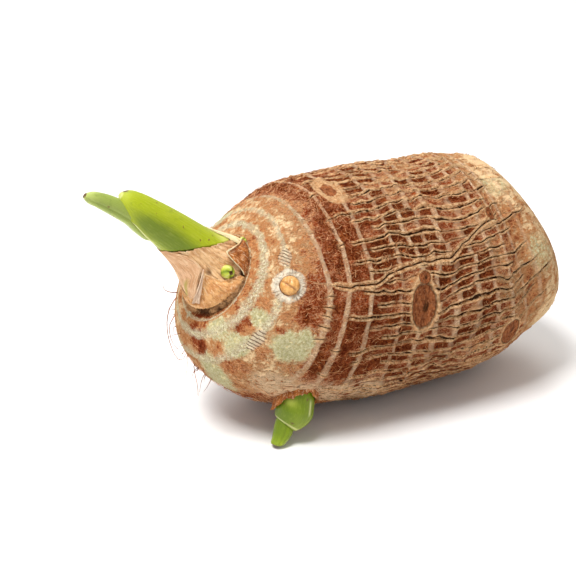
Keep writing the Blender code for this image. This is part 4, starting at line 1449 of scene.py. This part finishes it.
def make_stage():
    """A white table and soft studio light."""
    bm = bmesh.new()
    bmesh.ops.create_grid(bm, x_segments=1, y_segments=1, size=4.0)
    table = bpy.data.objects.new("table_top", mesh_of(bm, "table_top"))
    bpy.context.collection.objects.link(table)
    paint = Paint("white_table")
    grainy = paint.noise(paint.place, 60.0, 2.0, 0.5)
    colour = paint.mix(grainy, tone(245, 244, 243), tone(248, 247, 246))
    table.data.materials.append(paint.finish(colour, 0.5, grainy, 0.00002, 0.1))

    world = bpy.data.worlds.new("studio")
    world.use_nodes = True
    sky = world.node_tree.nodes["Background"]
    sky.inputs["Color"].default_value = (1.0, 0.99, 0.98, 1.0)
    sky.inputs["Strength"].default_value = 0.49
    bpy.context.scene.world = world
    bpy.context.scene.view_settings.view_transform = "Standard"

    aim = Vector((0.0, 0.0, 0.04))
    for name, spot, size, power in (
        ("key", (-0.5, -0.1, 1.15), 0.45, 16.8),
        ("back", (0.45, 1.0, 1.1), 0.9, 8.0),
        ("fill", (-0.5, -1.1, 0.55), 0.9, 1.0),
    ):
        lamp = bpy.data.lights.new(name, "AREA")
        lamp.energy = power
        lamp.size = size
        light = bpy.data.objects.new(name, lamp)
        light.location = spot
        light.rotation_euler = (aim - Vector(spot)).to_track_quat("-Z", "Y").to_euler()
        bpy.context.collection.objects.link(light)


def make_camera():
    """A camera at the photo's angle."""
    azimuth = math.radians(-32.79)
    elevation = math.radians(23.0)
    level = math.cos(elevation)
    back = Vector((math.sin(azimuth) * level, -math.cos(azimuth) * level, math.sin(elevation)))
    lens = bpy.data.cameras.new("camera")
    lens.lens = 97.06
    lens.sensor_width = 36.0
    lens.clip_start = 0.01
    camera = bpy.data.objects.new("camera", lens)
    camera.location = (-0.3963, -0.5417, 0.3316)
    camera.rotation_euler = back.to_track_quat("Z", "Y").to_euler()
    bpy.context.collection.objects.link(camera)
    bpy.context.scene.camera = camera


def main():
    bark = bark_paint()
    husk = husk_paint("dry_husk", tone(240, 198, 148), tone(212, 160, 110), tone(158, 102, 62))
    cup = husk_paint("cup_husk", tone(232, 178, 118), tone(206, 142, 86), tone(136, 84, 46))
    panel = husk_paint("panel_husk", tone(240, 196, 154), tone(220, 166, 122), tone(178, 122, 82))
    flap = husk_paint("pale_husk", tone(246, 218, 190), tone(226, 188, 156), tone(190, 142, 110))
    brown_husk = husk_paint("brown_husk", tone(200, 124, 62), tone(150, 82, 38), tone(84, 44, 22))
    leaf = leaf_paint("green_leaf", tone(214, 212, 108), tone(166, 178, 24), tone(106, 126, 8),
                      tone(236, 234, 172))
    young = leaf_paint("young_leaf", tone(190, 200, 114), tone(130, 150, 50), tone(84, 106, 26),
                       tone(224, 228, 180))
    side_leaf = leaf_paint("side_leaf", tone(200, 206, 92), tone(142, 162, 24), tone(94, 116, 8),
                           tone(228, 230, 160))
    lip_paint = fibre_paint("pale_lip", tone(244, 232, 190), tone(220, 190, 140))
    amber = bud_paint()
    dark_fibre = fibre_paint("dark_fibre", tone(150, 84, 46), tone(80, 34, 16))
    pale_fibre = fibre_paint("pale_fibre", tone(242, 188, 138), tone(192, 120, 74))
    root_fibre = fibre_paint("root_fibre", tone(186, 126, 92), tone(120, 68, 44))
    husk_fibre = fibre_paint("husk_fibre", tone(196, 150, 104), tone(84, 54, 34))

    make_camera()
    make_stage()
    make_corm(bark)
    make_husk(husk)
    make_husk_cup(cup)
    make_front_panel(panel)
    make_flap(flap)
    make_scale(brown_husk)
    make_pale_base(flap)
    make_lip(lip_paint)
    make_sheath(leaf)
    make_spear(young)
    make_side_sheath(side_leaf)
    make_side_spear(side_leaf)
    make_side_collar(brown_husk)
    make_side_bud(amber)
    make_green_buds(leaf)
    make_rim_fibres(husk_fibre)
    make_bark_fibres(pale_fibre, dark_fibre)
    make_root_hairs(root_fibre)


main()
